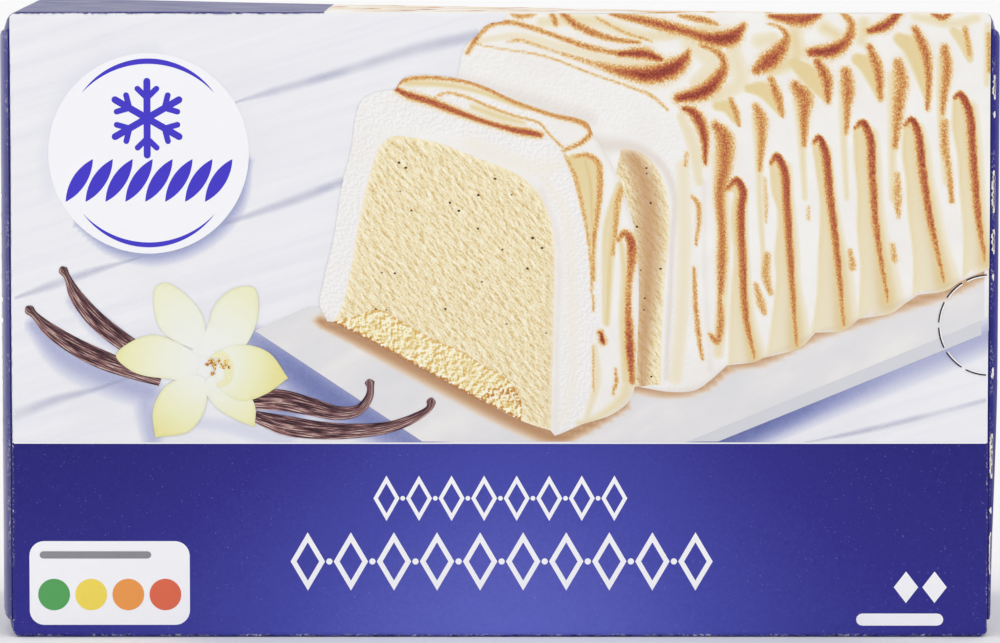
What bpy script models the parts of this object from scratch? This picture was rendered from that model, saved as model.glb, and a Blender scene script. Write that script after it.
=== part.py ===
# Shut folding carton of a frozen dessert, standing on its long bottom panel.
# Metres, +Z up. The front panel faces -Y, and the origin is the middle of the base.
# The carton is one filled solid; the glued outer flap on each end is a board of its own.

import math

import bmesh
import bpy

# Driving dimensions of the folded carton
WIDTH = 0.240  # front panel, crease to crease
DEPTH = 0.090
HEIGHT = 0.1535
BOARD = 0.0006  # thickness of a flap
GAP = 0.0004  # clearance between a flap and the carton under it
CREASE = 0.0014  # rounding of a folded crease
PANEL_BOW = 0.0005  # how far the two large panels belly out
RACK_DROP = 0.0045  # how low the top's back right corner has sunk

# End flaps
FLAP_SPRING = 0.0033  # how far a flap springs out of its crease plane
FLAP_FRONT = 0.0017  # from the front panel to the flap's folded edge
FLAP_BACK = 0.0030  # from the flap's free edge to the back panel
FLAP_INSET = 0.0041  # from the top or bottom crease to the flap's edge
FLAP_TAPER = 0.0021  # how much more the inset is once clear of the fold
FLAP_CORNER = 0.0040  # cut at the two corners of the free edge
RIGHT_SLACK = 0.55  # share of the spring that the right flap loses at its foot

# Press-in tab and tear line at the right front crease
TAB_HEIGHT = 0.0770
TAB_RADIUS = 0.0123
TAB_DASHES = 6
DASH_SHARE = 0.80  # share of the tab's outline that is cut through
SLIT_WIDTH = 0.0004
SLIT_DEPTH = 0.0005
NICK_SIDE = 0.0016
# Height of each torn nick's middle, and its length
NICKS = (
    (0.0205, 0.0105),
    (0.0312, 0.0020),
    (0.0445, 0.0110),
    (0.0650, 0.0028),
    (0.0885, 0.0016),
    (0.0972, 0.0060),
    (0.1095, 0.0105),
    (0.1284, 0.0018),
    (0.1350, 0.0060),
)

WIDTH_CUTS = 14
DEPTH_CUTS = 10
HEIGHT_CUTS = 12


def new_collection(name):
    made = bpy.data.collections.new(name)
    bpy.context.scene.collection.children.link(made)
    return made


def board_material(name, color, roughness):
    made = bpy.data.materials.new(name)
    made.use_nodes = True
    shader = made.node_tree.nodes["Principled BSDF"]
    shader.inputs["Base Color"].default_value = (*color, 1)
    shader.inputs["Roughness"].default_value = roughness
    shader.inputs["Metallic"].default_value = 0.0
    return made


def add_object(name, mesh_data, collection, material=None):
    mesh = bpy.data.meshes.new(name)
    mesh_data.to_mesh(mesh)
    mesh_data.free()
    made = bpy.data.objects.new(name, mesh)
    collection.objects.link(made)
    if material:
        mesh.materials.append(material)
        mesh.shade_smooth()
        mesh.set_sharp_from_angle(angle=math.radians(30))
    return made


def flap_rows():
    # Depth shares from a flap's folded edge to its free edge, closer together by the fold.
    rows = [(row / DEPTH_CUTS) ** 1.25 for row in range(1, DEPTH_CUTS)]
    return [FLAP_FRONT / DEPTH] + rows + [1 - FLAP_BACK / DEPTH]


def ease(share):
    share = min(max(share, 0.0), 1.0)
    return share * share * (3 - 2 * share)


def spring(depth_share, height_share, side):
    # Outward stand of a flap: steep behind its fold, easing to nothing at the back panel.
    fold = FLAP_FRONT / DEPTH
    share = max(depth_share - fold, 0.0) / (1 - fold)
    stand = FLAP_SPRING * max(math.sin(math.pi * share**0.6), 0.0) ** 0.8
    if side > 0:
        stand *= 1 - RIGHT_SLACK * (1 - ease(height_share / 0.45))
    return stand


def top_height(width_share, depth_share):
    return HEIGHT - RACK_DROP * width_share * depth_share


def end_offset(depth_share, height, side):
    # The carton's own end face lies a board and a gap below the flap, and comes back to
    # the crease plane along all four of its edges.
    if not 0 < depth_share < 1:
        return 0.0
    top = top_height((1 + side) / 2, depth_share)
    hem = ease(min(height, top - height) / FLAP_INSET)
    return (spring(depth_share, height / HEIGHT, side) - BOARD - GAP) * hem


def carton_body(collection, material):
    bm = bmesh.new()
    bmesh.ops.create_cube(bm, size=1)
    hem = FLAP_INSET / HEIGHT
    heights = [hem / 2, hem, 1 - hem, 1 - hem / 2]
    heights += [hem + (1 - 2 * hem) * row / HEIGHT_CUTS for row in range(1, HEIGHT_CUTS)]
    cuts = {0: [row / WIDTH_CUTS for row in range(1, WIDTH_CUTS)]}
    cuts[1] = flap_rows()
    cuts[2] = heights
    for axis, shares in cuts.items():
        normal = [float(axis == i) for i in range(3)]
        for share in shares:
            place = [part * (share - 0.5) for part in normal]
            everything = bm.verts[:] + bm.edges[:] + bm.faces[:]
            bmesh.ops.bisect_plane(bm, geom=everything, plane_co=place, plane_no=normal)
    for vert in bm.verts:
        width_share, depth_share, height_share = (part + 0.5 for part in vert.co)
        x = (width_share - 0.5) * WIDTH
        z = height_share * top_height(width_share, depth_share)
        bow = PANEL_BOW * math.sin(math.pi * width_share) * math.sin(math.pi * height_share)
        y = (depth_share - 0.5) * (DEPTH + 2 * bow)
        if min(width_share, 1 - width_share) < 1e-6:
            side = 1 if width_share > 0.5 else -1
            x += side * end_offset(round(depth_share, 6), z, side)
        vert.co = (x, y, z)
    body = add_object("carton_body", bm, collection, material)
    crease = body.modifiers.new("creases", "BEVEL")
    crease.limit_method = "ANGLE"
    crease.angle_limit = math.radians(50)
    crease.width = CREASE
    crease.segments = 3
    return body


def end_flap(name, side, collection, material):
    # A flat grid, bent to the end's curve and then given the board's thickness.
    rows = flap_rows()
    bm = bmesh.new()
    bmesh.ops.create_grid(bm, x_segments=len(rows) - 1, y_segments=HEIGHT_CUTS, size=0.5)
    for vert in bm.verts:
        share = rows[round((vert.co.x + 0.5) * (len(rows) - 1))]
        up = vert.co.y + 0.5
        top = top_height((1 + side) / 2, share)
        inset = FLAP_INSET + FLAP_TAPER * ease(share / 0.15)
        inset += FLAP_CORNER * ease((share - 0.9) / 0.1)
        z = inset + up * (top - 2 * inset)
        x = side * (WIDTH / 2 + spring(share, z / HEIGHT, side))
        vert.co = (x, (share - 0.5) * DEPTH, z)
    if side < 0:
        bmesh.ops.reverse_faces(bm, faces=bm.faces[:])
    flap = add_object(name, bm, collection, material)
    board = flap.modifiers.new("board", "SOLIDIFY")
    board.thickness = BOARD
    board.offset = -1
    return flap


def tab_slit(index, collection):
    # One dash of the half-round perforation: a bar bent along its arc.
    pitch = math.pi / TAB_DASHES
    middle = math.pi / 2 + pitch * (index + 0.5)
    bm = bmesh.new()
    bmesh.ops.create_cube(bm, size=1)
    for share in (-0.25, 0, 0.25):
        everything = bm.verts[:] + bm.edges[:] + bm.faces[:]
        bmesh.ops.bisect_plane(bm, geom=everything, plane_co=(0, 0, share), plane_no=(0, 0, 1))
    for vert in bm.verts:
        angle = middle + vert.co.z * pitch * DASH_SHARE
        radius = TAB_RADIUS + vert.co.x * SLIT_WIDTH
        x = WIDTH / 2 + radius * math.cos(angle)
        z = TAB_HEIGHT + radius * math.sin(angle)
        vert.co = (x, vert.co.y * 2 * (SLIT_DEPTH + PANEL_BOW) - DEPTH / 2, z)
    return add_object(f"cut_tab_slit_{index + 1}", bm, collection)


def crease_nick(index, height, length, collection):
    # A bar set cornerwise into the right front crease, where the tear line has opened.
    bm = bmesh.new()
    bmesh.ops.create_cube(bm, size=1)
    for vert in bm.verts:
        vert.co.x *= NICK_SIDE
        vert.co.y *= NICK_SIDE
        vert.co.z *= length
    nick = add_object(f"cut_nick_{index + 1}", bm, collection)
    nick.location = (WIDTH / 2, -DEPTH / 2, height)
    nick.rotation_euler.z = math.radians(45)
    return nick


def main():
    for old in list(bpy.data.objects):
        bpy.data.objects.remove(old, do_unlink=True)
    parts = new_collection("frozen_dessert_carton")
    cutters = new_collection("cutters")
    printed = board_material("printed_board", (0.72, 0.72, 0.82), 0.35)
    blue = board_material("blue_board", (0.045, 0.035, 0.21), 0.35)

    body = carton_body(parts, printed)
    end_flap("left_end_flap", -1, parts, blue)
    end_flap("right_end_flap", 1, parts, blue)

    for index in range(TAB_DASHES):
        tab_slit(index, cutters)
    for index, (height, length) in enumerate(NICKS):
        crease_nick(index, height, length, cutters)
    for cutter in cutters.objects:
        cutter.hide_render = True
        cutter.display_type = "WIRE"
    cut = body.modifiers.new("tear_line", "BOOLEAN")
    cut.operand_type = "COLLECTION"
    cut.collection = cutters
    cut.operation = "DIFFERENCE"
    cut.solver = "EXACT"


main()
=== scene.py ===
import math
import random

import bpy
import numpy as np
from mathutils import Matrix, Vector
from mathutils.geometry import delaunay_2d_cdt


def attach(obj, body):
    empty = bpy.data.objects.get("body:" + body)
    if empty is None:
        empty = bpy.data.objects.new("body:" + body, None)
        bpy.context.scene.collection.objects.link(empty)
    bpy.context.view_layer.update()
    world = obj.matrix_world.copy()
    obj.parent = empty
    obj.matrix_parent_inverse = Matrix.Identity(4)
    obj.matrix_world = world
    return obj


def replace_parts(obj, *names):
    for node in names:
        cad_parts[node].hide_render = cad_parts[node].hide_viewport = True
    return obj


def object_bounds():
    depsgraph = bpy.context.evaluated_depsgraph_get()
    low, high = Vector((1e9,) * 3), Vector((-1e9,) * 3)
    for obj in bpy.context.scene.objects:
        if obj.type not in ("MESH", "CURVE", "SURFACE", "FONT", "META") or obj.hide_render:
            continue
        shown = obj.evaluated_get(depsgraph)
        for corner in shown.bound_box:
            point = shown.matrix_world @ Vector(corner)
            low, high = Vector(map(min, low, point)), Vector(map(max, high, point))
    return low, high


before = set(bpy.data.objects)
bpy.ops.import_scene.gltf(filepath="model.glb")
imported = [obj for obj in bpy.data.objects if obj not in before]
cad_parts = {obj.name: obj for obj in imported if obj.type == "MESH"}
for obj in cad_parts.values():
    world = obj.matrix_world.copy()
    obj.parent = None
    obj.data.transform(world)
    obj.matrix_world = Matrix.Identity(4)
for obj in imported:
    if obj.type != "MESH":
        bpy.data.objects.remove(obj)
cadLow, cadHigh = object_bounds()
print("frame loaded")

mm = 0.001  # the lengths below are in millimetres

# The carton's board
board = {
    "creaseRadius": 1.4,
    "cornerRadius": 2.4,  # rounding of the panels' corners
    "bow": 0.5,  # belly of the two large panels
    "rackDrop": 4.5,  # how low the back right corner of the top has sunk
    "flapStand": 3.3,  # spring of the end flaps
    "flapFold": 1.7,
    "flapFree": 3.0,
    "flapInset": 4.1,
    "flapTaper": 2.1,
    "flapCorner": 4.0,
    "flapThick": 0.6,
    "flapGap": 0.4,
    "rightSlack": 0.55,  # share of the spring that the right flap loses at its foot
    "slackHeight": 0.45,  # share of the height over which it gets it back
    "cornerPull": 0.8,  # how far a rounded corner is drawn in, and over what length
    "cornerReach": 8,
    "wave": 0.06,  # slow unevenness of the board, calm within this of the creases
    "waveHem": 12,
    "inkStep": 0.03,  # lift from one printed layer to the next
}
# Which layer each print lies in, from the board up; a piece that isn't here lies on the board
layers = {
    "tornNicks": 1, "plankSeams": 1, "nickSlits": 2, "plateTop": 2, "plateRim": 3, "vanillaPods": 3.2,
    "loafMeringue": 4, "bandEdge": 5, "loafIceCream": 5, "creaseCracks": 5.5, "loafSpecks": 5.6,
    "sliceMeringue": 6, "sliceIceCream": 7, "sliceSponge": 8, "sliceSpecks": 9, "flowerLip": 10,
    "flowerStamens": 11, "sealDisc": 2, "sealArcs": 3, "sealStar": 3, "sealLeaves": 3,
    "frontOrnaments": 1.5, "backOrnaments": 1.5, "labelField": 1.5, "labelRule": 2.5,
    "labelDisc1": 2.5, "labelDisc2": 2.5, "labelDisc3": 2.5, "labelDisc4": 2.5, "tabSlits": 8,
    "tabSlitEdges": 8, "backLabel": 1.5, "baseLabel": 1.5, "backRules": 3, "leftFlapLabel": 1.5,
    "leftFlapRules": 1.5, "rightFlapLabel": 1.5, "rightFlapRules": 1.5,
}
width = (cadHigh.x - cadLow.x) / mm - 2 * board["flapStand"]
depth = (cadHigh.y - cadLow.y) / mm - 2 * board["bow"]
height = cadHigh.z / mm


def ease(value):
    value = np.clip(value, 0, 1)
    return value * value * (3 - 2 * value)


def flapStand(depthShare, heightShare, side):
    # steep behind the fold, easing to nothing at the back panel
    fold = board["flapFold"] / depth
    share = np.clip((depthShare - fold) / (1 - fold), 0, 1)
    stand = board["flapStand"] * np.sin(np.pi * share**0.6).clip(0) ** 0.8
    slack = board["rightSlack"] * (1 - ease(heightShare / board["slackHeight"]))
    return np.where(side > 0, stand * (1 - slack), stand)


def topHeight(widthShare, depthShare):
    return height - board["rackDrop"] * np.clip(widthShare, 0, 1) * np.clip(depthShare, 0, 1)


def foldedBoard(points):
    # bends the square box into the real one: sunk top, bellied panels, sprung ends
    x, y, z = points.T
    widthShare, depthShare, heightShare = x / width + 0.5, y / depth + 0.5, z / height
    top = topHeight(widthShare, depthShare)
    newZ = heightShare * top
    bow = board["bow"] * np.sin(np.pi * widthShare.clip(0, 1)) * np.sin(np.pi * heightShare.clip(0, 1))
    newY = y * (1 + 2 * bow / depth)
    side, beyond = np.sign(x), np.abs(x) - width / 2
    fold = board["flapFold"] / depth
    seat = np.clip(np.minimum(depthShare, 1 - depthShare) / fold, 0, 1)
    under = (board["flapThick"] + board["flapGap"]) * seat
    hem = ease(np.minimum(newZ, top - newZ) / board["flapInset"])
    stand = (flapStand(depthShare, heightShare, side) - under) * hem
    onEnd = np.clip(beyond / board["creaseRadius"] + 1, 0, 1)
    corner = np.clip(1 - np.minimum(z, height - z) / board["cornerRadius"], 0, 1)
    pull = board["cornerPull"] * board["cornerRadius"] * (1 - np.sqrt(1 - corner**2))
    newX = x + side * (stand * onEnd - pull * np.clip(beyond / board["cornerReach"] + 1, 0, 1))
    return np.stack([newX, newY, newZ], -1)


def boardWave(points):
    # two uneven swells, whose turns are in radians for each metre
    x, y, z = points.T * mm
    long = np.sin(61 * x + 23 * z) * np.sin(47 * z - 17 * x + 60 * y)
    return board["wave"] * (long + 0.6 * np.sin(113 * x - 71 * z + 90 * y))


def panelPoint(panel, s, t, lift=0.0):
    # s runs to the right and t up, as that panel is seen from outside
    s, t = np.broadcast_arrays(np.asarray(s, float), np.asarray(t, float))
    nil = np.zeros_like(s)
    square = {
        "front": (s, nil - depth / 2, t),
        "back": (-s, nil + depth / 2, t),
        "top": (s, t - depth / 2, nil + height),
        "bottom": (s, depth / 2 - t, nil),
        "left": (nil - width / 2, -s, t),
        "right": (nil + width / 2, s, t),
    }[panel]
    square = np.stack(square, -1)
    radius = board["creaseRadius"]
    corner = np.array([width / 2, depth / 2, height]) - radius
    inner = np.clip(square, [-corner[0], -corner[1], radius], corner)
    out = square - inner
    out /= np.maximum(np.linalg.norm(out, axis=-1, keepdims=True), 1e-9)
    calm = {"top": 1.0, "bottom": 0.0}.get(panel, ease(np.minimum(t, height - t) / board["waveHem"]))
    away = lift + boardWave(inner) * calm
    return foldedBoard(inner + out * (radius + away[:, None]))


def flapPoint(panel, s, t, lift=0.0):
    side = -1 if panel == "leftFlap" else 1
    s, t = np.broadcast_arrays(np.asarray(s, float), np.asarray(t, float))
    y = s * side
    stand = flapStand(y / depth + 0.5, t / height, np.full_like(s, side))
    return np.stack([side * (width / 2 + stand + lift), y, t], -1)


# Nodes and inks
def node(tree, kind, inputs=None, **settings):
    made = tree.nodes.new(kind)
    for key, value in settings.items():
        setattr(made, key, value)
    for key, value in (inputs or {}).items():
        if isinstance(value, bpy.types.NodeSocket):
            tree.links.new(value, made.inputs[key])
        else:
            made.inputs[key].default_value = value
    return made


def ink(code):
    # linear colour of a six-digit screen colour
    parts = [int(code[start : start + 2], 16) / 255 for start in (0, 2, 4)]
    return (*[(c / 12.92 if c <= 0.04045 else ((c + 0.055) / 1.055) ** 2.4) for c in parts], 1.0)


def mixInk(tree, factor, first, second):
    return node(tree, "ShaderNodeMix", {0: factor, 6: first, 7: second}, data_type="RGBA").outputs[2]


def maths(tree, operation, first, second=0.0, clamp=False):
    return node(tree, "ShaderNodeMath", {0: first, 1: second}, operation=operation,
                use_clamp=clamp).outputs[0]


def plus(tree, first, second):
    return maths(tree, "ADD", first, second)


def times(tree, first, second):
    return maths(tree, "MULTIPLY", first, second)


def less(tree, first, second):
    return maths(tree, "SUBTRACT", first, second)


def swing(tree, value, amount, middle=0.5):
    # how far a value stands from its middle, times an amount
    return times(tree, less(tree, value, middle), amount)


def rise(tree, value, low, high):
    # 0 at low, easing to 1 at high
    limits = {"Value": value, "From Min": low, "From Max": high}
    return node(tree, "ShaderNodeMapRange", limits, interpolation_type="SMOOTHSTEP").outputs["Result"]


def inkRamp(tree, value, stops):
    made = node(tree, "ShaderNodeValToRGB", {"Fac": value})
    points = made.color_ramp.elements
    while len(points) < len(stops):
        points.new(0.5)
    for point, (place, code) in zip(points, stops.items()):
        point.position = place
        point.color = ink(code)
    return made.outputs["Color"]


def mask(tree, name):
    return node(tree, "ShaderNodeAttribute", attribute_name=name).outputs["Fac"]


def placed(tree, stretch=(1, 1, 1), turn=0.0):
    # the object's own coordinates in millimetres, turned about Y and stretched
    where = node(tree, "ShaderNodeTexCoord").outputs["Object"]
    turned = node(tree, "ShaderNodeVectorRotate", {"Vector": where, "Angle": turn},
                  rotation_type="Y_AXIS")
    scale = [part / mm for part in stretch]
    return node(tree, "ShaderNodeVectorMath", {0: turned.outputs[0], 1: scale},
                operation="MULTIPLY").outputs[0]


def grainNoise(tree, where, scale, detail=2.0, roughness=0.5):
    inputs = {"Vector": where, "Scale": scale, "Detail": detail, "Roughness": roughness}
    return node(tree, "ShaderNodeTexNoise", inputs).outputs["Fac"]


def reliefNoise(tree, where, scale, shift=(0.3, 0, -0.3)):
    # lumps lit from one side: the noise less itself a step away, about 0.5
    moved = node(tree, "ShaderNodeVectorMath", {0: where, 1: shift}, operation="ADD").outputs[0]
    here, there = [grainNoise(tree, place, scale, 3, 0.6) for place in (where, moved)]
    return plus(tree, times(tree, less(tree, here, there), 2.0), 0.5)


def newGroup(name, inputs, outputs):
    # inputs give each socket's default, whose type is a colour's or a number's
    tree = bpy.data.node_groups.new(name, "ShaderNodeTree")
    for label, default in inputs.items():
        kind = "NodeSocketColor" if isinstance(default, tuple) else "NodeSocketFloat"
        tree.interface.new_socket(name=label, in_out="INPUT", socket_type=kind).default_value = default
    for label in outputs:
        kind = "NodeSocketColor" if label == "Color" else "NodeSocketFloat"
        tree.interface.new_socket(name=label, in_out="OUTPUT", socket_type=kind)
    return tree, tree.nodes.new("NodeGroupInput").outputs, tree.nodes.new("NodeGroupOutput").inputs


def useGroup(tree, group, inputs):
    return node(tree, "ShaderNodeGroup", inputs, node_tree=group).outputs


def makeVarnishGroup():
    # ink laid on coated board: faint mottle, fine press grain, uneven gloss, fibre relief
    inputs = {"Color": (1.0, 1.0, 1.0, 1.0), "Mottle": 0.05, "Gloss": 0.38}
    tree, given, result = newGroup("varnishedInk", inputs, ["Color", "Roughness", "Height"])
    where = placed(tree)
    cloud = grainNoise(tree, where, 0.09, 3)
    grain = grainNoise(tree, where, 2.6, 1)
    fibres = grainNoise(tree, placed(tree, (1, 1, 3)), 0.8, 3)
    both = plus(tree, times(tree, cloud, 0.6), times(tree, grain, 0.7))
    light = plus(tree, 1.0, times(tree, swing(tree, both, given["Mottle"], 0.65), 2.0))
    bright = node(tree, "ShaderNodeHueSaturation", {"Value": light, "Color": given["Color"]})
    tree.links.new(bright.outputs[0], result["Color"])
    tree.links.new(plus(tree, given["Gloss"], swing(tree, cloud, 0.25)), result["Roughness"])
    tree.links.new(plus(tree, times(tree, cloud, 0.5), times(tree, fibres, 0.2)), result["Height"])
    return tree


def makeWearGroup():
    # bare board along a crease: a broken hairline where the ink has cracked, with odd nicks
    tree, given, result = newGroup("creaseWear", {"Reach": 0.0, "Amount": 0.5}, ["Mask"])
    fine = grainNoise(tree, placed(tree), 1.3, 3, 0.65)
    patches = grainNoise(tree, placed(tree), 0.11, 2)
    broken = times(tree, rise(tree, fine, 0.50, 0.62), rise(tree, patches, 0.42, 0.60))
    near = maths(tree, "POWER", given["Reach"], 2.0)
    worn = times(tree, times(tree, near, broken), given["Amount"])
    tree.links.new(maths(tree, "MULTIPLY", worn, 2.2, clamp=True), result["Mask"])
    return tree


def makeToastGroup():
    # printed meringue: white foam, cream hollows and stippled scorched ridges
    inputs = {"Toast": 0.0, "Cream": 0.0, "Shade": 0.0, "Rough": 0.0}
    tree, given, result = newGroup("toastedMeringue", inputs, ["Color"])
    where = placed(tree)
    stipple = grainNoise(tree, where, 2.4, 2, 0.6)
    foam = inkRamp(tree, grainNoise(tree, where, 0.12, 3), {0.35: "eeebe8", 0.65: "f2f0ed"})
    relief = reliefNoise(tree, where, 1.25)
    lumps = inkRamp(tree, relief, {0.3: "dfdcdb", 0.45: "eae8e7", 0.55: "f1f0f0", 0.7: "f8f7f7"})
    foam = mixInk(tree, times(tree, given["Rough"], 0.5), foam, lumps)
    tone = plus(tree, given["Cream"], swing(tree, stipple, 0.18))
    hollow = inkRamp(tree, tone, {0.0: "f1ece2", 0.45: "eae0c5", 0.8: "e4d09d", 1.0: "d9b97c"})
    body = mixInk(tree, rise(tree, given["Cream"], 0.02, 0.25), foam, hollow)
    body = mixInk(tree, given["Shade"], body, ink("c9b09c"))
    dots = swing(tree, stipple, rise(tree, given["Toast"], 0.0, 0.45))
    heat = plus(tree, given["Toast"], dots)
    scorched = {0.12: "ebd5a6", 0.32: "e2bd7c", 0.52: "cd8f52", 0.74: "b25a40", 0.98: "883a2e"}
    color = mixInk(tree, rise(tree, heat, 0.06, 0.36), body, inkRamp(tree, heat, scorched))
    tree.links.new(color, result["Color"])
    return tree


varnishGroup = makeVarnishGroup()
wearGroup = makeWearGroup()
toastGroup = makeToastGroup()


def newInk(name, paint, mottle=0.05, gloss=0.38, wear=0.0, relief=0.02, shine=0.15):
    # paint(tree) gives the colour; the varnish and any crease wear are the same for all
    material = bpy.data.materials.new(name)
    material.use_nodes = True
    tree = material.node_tree
    shader = tree.nodes["Principled BSDF"]
    varnish = useGroup(tree, varnishGroup, {"Color": paint(tree), "Mottle": mottle, "Gloss": gloss})
    color = varnish["Color"]
    if wear:
        worn = useGroup(tree, wearGroup, {"Reach": mask(tree, "crease"), "Amount": wear})
        color = mixInk(tree, worn["Mask"], color, ink("efedea"))
    tree.links.new(color, shader.inputs["Base Color"])
    tree.links.new(varnish["Roughness"], shader.inputs["Roughness"])
    shader.inputs["Specular IOR Level"].default_value = shine
    height = {"Height": varnish["Height"], "Strength": 0.25, "Distance": relief * mm}
    bump = node(tree, "ShaderNodeBump", height)
    tree.links.new(bump.outputs["Normal"], shader.inputs["Normal"])
    return material


# Outlines, fills and ribbons
def smoothPath(points, spacing=0.7, closed=False):
    # samples of a smooth curve through the points; further columns, such as a width, go along
    points = np.array(points, float)
    if closed:
        points = np.vstack([points[-1:], points, points[:2]])
    else:
        points = np.vstack([2 * points[0] - points[1], points, 2 * points[-1] - points[-2]])
    stretches = []
    for before, start, end, after in zip(points, points[1:], points[2:], points[3:]):
        steps = (start - before, end - start, after - end)
        a, b, c = [max(np.linalg.norm(step[:2]) ** 0.5, 1e-3) for step in steps]
        leave = (steps[0] / a - (end - before) / (a + b) + steps[1] / b) * b
        arrive = (steps[1] / b - (after - start) / (b + c) + steps[2] / c) * b
        share = np.linspace(0, 1, max(2, math.ceil(b**2 / spacing)), endpoint=False)[:, None]
        square, cube = share**2, share**3
        part = (2 * cube - 3 * square + 1) * start + (cube - 2 * square + share) * leave
        stretches.append(part + (3 * square - 2 * cube) * end + (cube - square) * arrive)
    if not closed:
        stretches.append(points[-2:-1])
    return np.vstack(stretches)


def cornered(*stretches, spacing=0.7):
    # a closed outline of smooth stretches that meet at corners
    return np.vstack([smoothPath(points, spacing) for points in stretches])


def ellipse(center, radii, count=64, start=0.0, turn=math.tau):
    angles = start + turn * np.arange(count) / (count if turn == math.tau else count - 1)
    return np.array(center) + np.array(radii) * np.stack([np.cos(angles), np.sin(angles)], -1)


def roundedBox(low, high, radius, count=8):
    left, right, foot, top = low[0] + radius, high[0] - radius, low[1] + radius, high[1] - radius
    quarter = math.pi / 2
    corners = enumerate([(right, top), (left, top), (left, foot), (right, foot)])
    arcs = [ellipse(spot, (radius,) * 2, count, turn * quarter, quarter) for turn, spot in corners]
    return np.vstack(arcs)


def insideOutline(spots, outline):
    inside = np.zeros(len(spots), bool)
    for (x1, z1), (x2, z2) in zip(outline, np.roll(outline, -1, 0)):
        if z1 != z2:
            crosses = (z1 > spots[:, 1]) != (z2 > spots[:, 1])
            inside ^= crosses & (spots[:, 0] < x1 + (spots[:, 1] - z1) * (x2 - x1) / (z2 - z1))
    return inside


def lineDistance(spots, line):
    # distance to a line of points, the place along it (0 to 1) and the side (left is positive)
    nearest = np.full(len(spots), 1e9)
    along = np.zeros(len(spots))
    side = np.zeros(len(spots))
    for index, (a, b) in enumerate(zip(line[:-1, :2], line[1:, :2])):
        step = b - a
        share = np.clip(((spots - a) @ step) / max(step @ step, 1e-9), 0, 1)
        off = spots - a - share[:, None] * step
        away = np.hypot(*off.T)
        closer = away < nearest
        nearest[closer] = away[closer]
        along[closer] = (index + share[closer]) / (len(line) - 1)
        side[closer] = (step[0] * off[:, 1] - step[1] * off[:, 0])[closer]
    return nearest, along, np.sign(side)


def fillShape(outline, step):
    # triangles inside a closed outline, with inner points to carry soft shading and follow the board
    sides = np.hypot(*(np.roll(outline, -1, 0) - outline).T)
    pieces = [max(1, math.ceil(side / max(step, 1.5))) for side in sides]
    runs = zip(outline, np.roll(outline, -1, 0), pieces)
    outline = np.vstack([a + (b - a) * np.arange(n)[:, None] / n for a, b, n in runs])
    low, high = outline.min(0), outline.max(0)
    across = [np.arange(low[i] + step * 0.7, high[i], step) for i in (0, 1)]
    grid = np.stack(np.meshgrid(*across), -1).reshape(-1, 2)
    grid = grid[insideOutline(grid, outline)]
    if len(grid):
        grid = grid[lineDistance(grid, np.vstack([outline, outline[:1]]))[0] > 0.45 * step]
    spots = np.vstack([outline, grid])
    ring = [(i, (i + 1) % len(outline)) for i in range(len(outline))]
    made = delaunay_2d_cdt([Vector(spot) for spot in spots], ring, [], 1, 1e-6)
    return np.array([tuple(v) for v in made[0]]), [tuple(face) for face in made[2]]


def ribbon(path, rows=6, spacing=0.7):
    # a strip of changing half width along a path, with its own along and across values
    line = smoothPath(path, spacing)
    step = np.gradient(line[:, :2], axis=0)
    normal = np.stack([-step[:, 1], step[:, 0]], -1)
    normal /= np.maximum(np.linalg.norm(normal, axis=1, keepdims=True), 1e-9)
    across = np.linspace(-1, 1, rows + 1)
    spots = line[:, None, :2] + normal[:, None] * (across[None, :, None] * line[:, None, 2:3])
    count = len(line)
    faces = []
    for i in range(count - 1):
        for j in range(rows):
            corner = i * (rows + 1) + j
            faces.append((corner, corner + rows + 1, corner + rows + 2, corner + 1)[::-1])
    length = np.concatenate([[0], np.cumsum(np.hypot(*np.diff(line[:, :2], axis=0).T))])
    masks = {"across": np.tile(across, count), "along": np.repeat(length, rows + 1)}
    masks["share"] = masks["along"] / length[-1]
    return spots.reshape(-1, 2), faces, masks


def brush(spots, path, soft=1.0, lean=1.0):
    # 1 along the path, falling to 0 at its half width; lean widens the left side of the path,
    # and a fourth number in each point scales the stroke there
    line = smoothPath(path, 0.9)
    reach = line[:, 2].max() * max(lean, 1.0)
    low, high = line[:, :2].min(0) - reach, line[:, :2].max(0) + reach
    near = ((spots > low) & (spots < high)).all(1)
    value = np.zeros(len(spots))
    if near.any():
        away, along, side = lineDistance(spots[near], line)
        places = np.linspace(0, 1, len(line))
        half = np.interp(along, places, line[:, 2])
        half = np.where(side > 0, half * lean, half)
        value[near] = ease((1 - away / np.maximum(half, 1e-6)) / soft)
        if line.shape[1] > 3:
            value[near] *= np.interp(along, places, line[:, 3])
    return value


def painted(spots, strokes, halo=0.0, core=1.0, spread=1.0):
    # the strongest of the strokes (strength, path, then softness and lean where they differ from 1);
    # a halo is a paler, wider copy of each stroke round it, a core below 1 fills the stroke's middle,
    # and spread widens them all
    haloGrowth, haloHem = 1.5, 1.1
    value = np.zeros(len(spots))
    for strength, path, *shape in strokes:
        soft, lean = (shape + [1.0, 1.0][len(shape) :])[:2]
        path = [(x, z, half * spread, *heat) for x, z, half, *heat in path]
        value = np.maximum(value, strength * brush(spots, path, soft * core, lean))
        if halo:
            wide = [(x, z, half * haloGrowth + haloHem, *heat) for x, z, half, *heat in path]
            value = np.maximum(value, halo * strength * brush(spots, wide, soft, lean))
    return value


def hollow(spots, border, line, fill, rim=0.25):
    # flat tone between a crisp border, which it darkens, and the line opposite; paler farther down
    soft = 0.7  # reach of the border's darkening, and of its own edge
    border, line = smoothPath(border)[:, :2], smoothPath(line)[:, :2]
    inside = insideOutline(spots, np.vstack([border, line[::-1]]))
    away, down, _ = lineDistance(spots, border)
    edge = np.clip(0.5 + np.where(inside, away, -away) / soft, 0, 1)
    tone = (fill + rim * np.exp(-away / soft)) * (1.12 - 0.35 * down)
    return np.where(inside | (away < soft / 2), edge, 0) * tone


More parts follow.
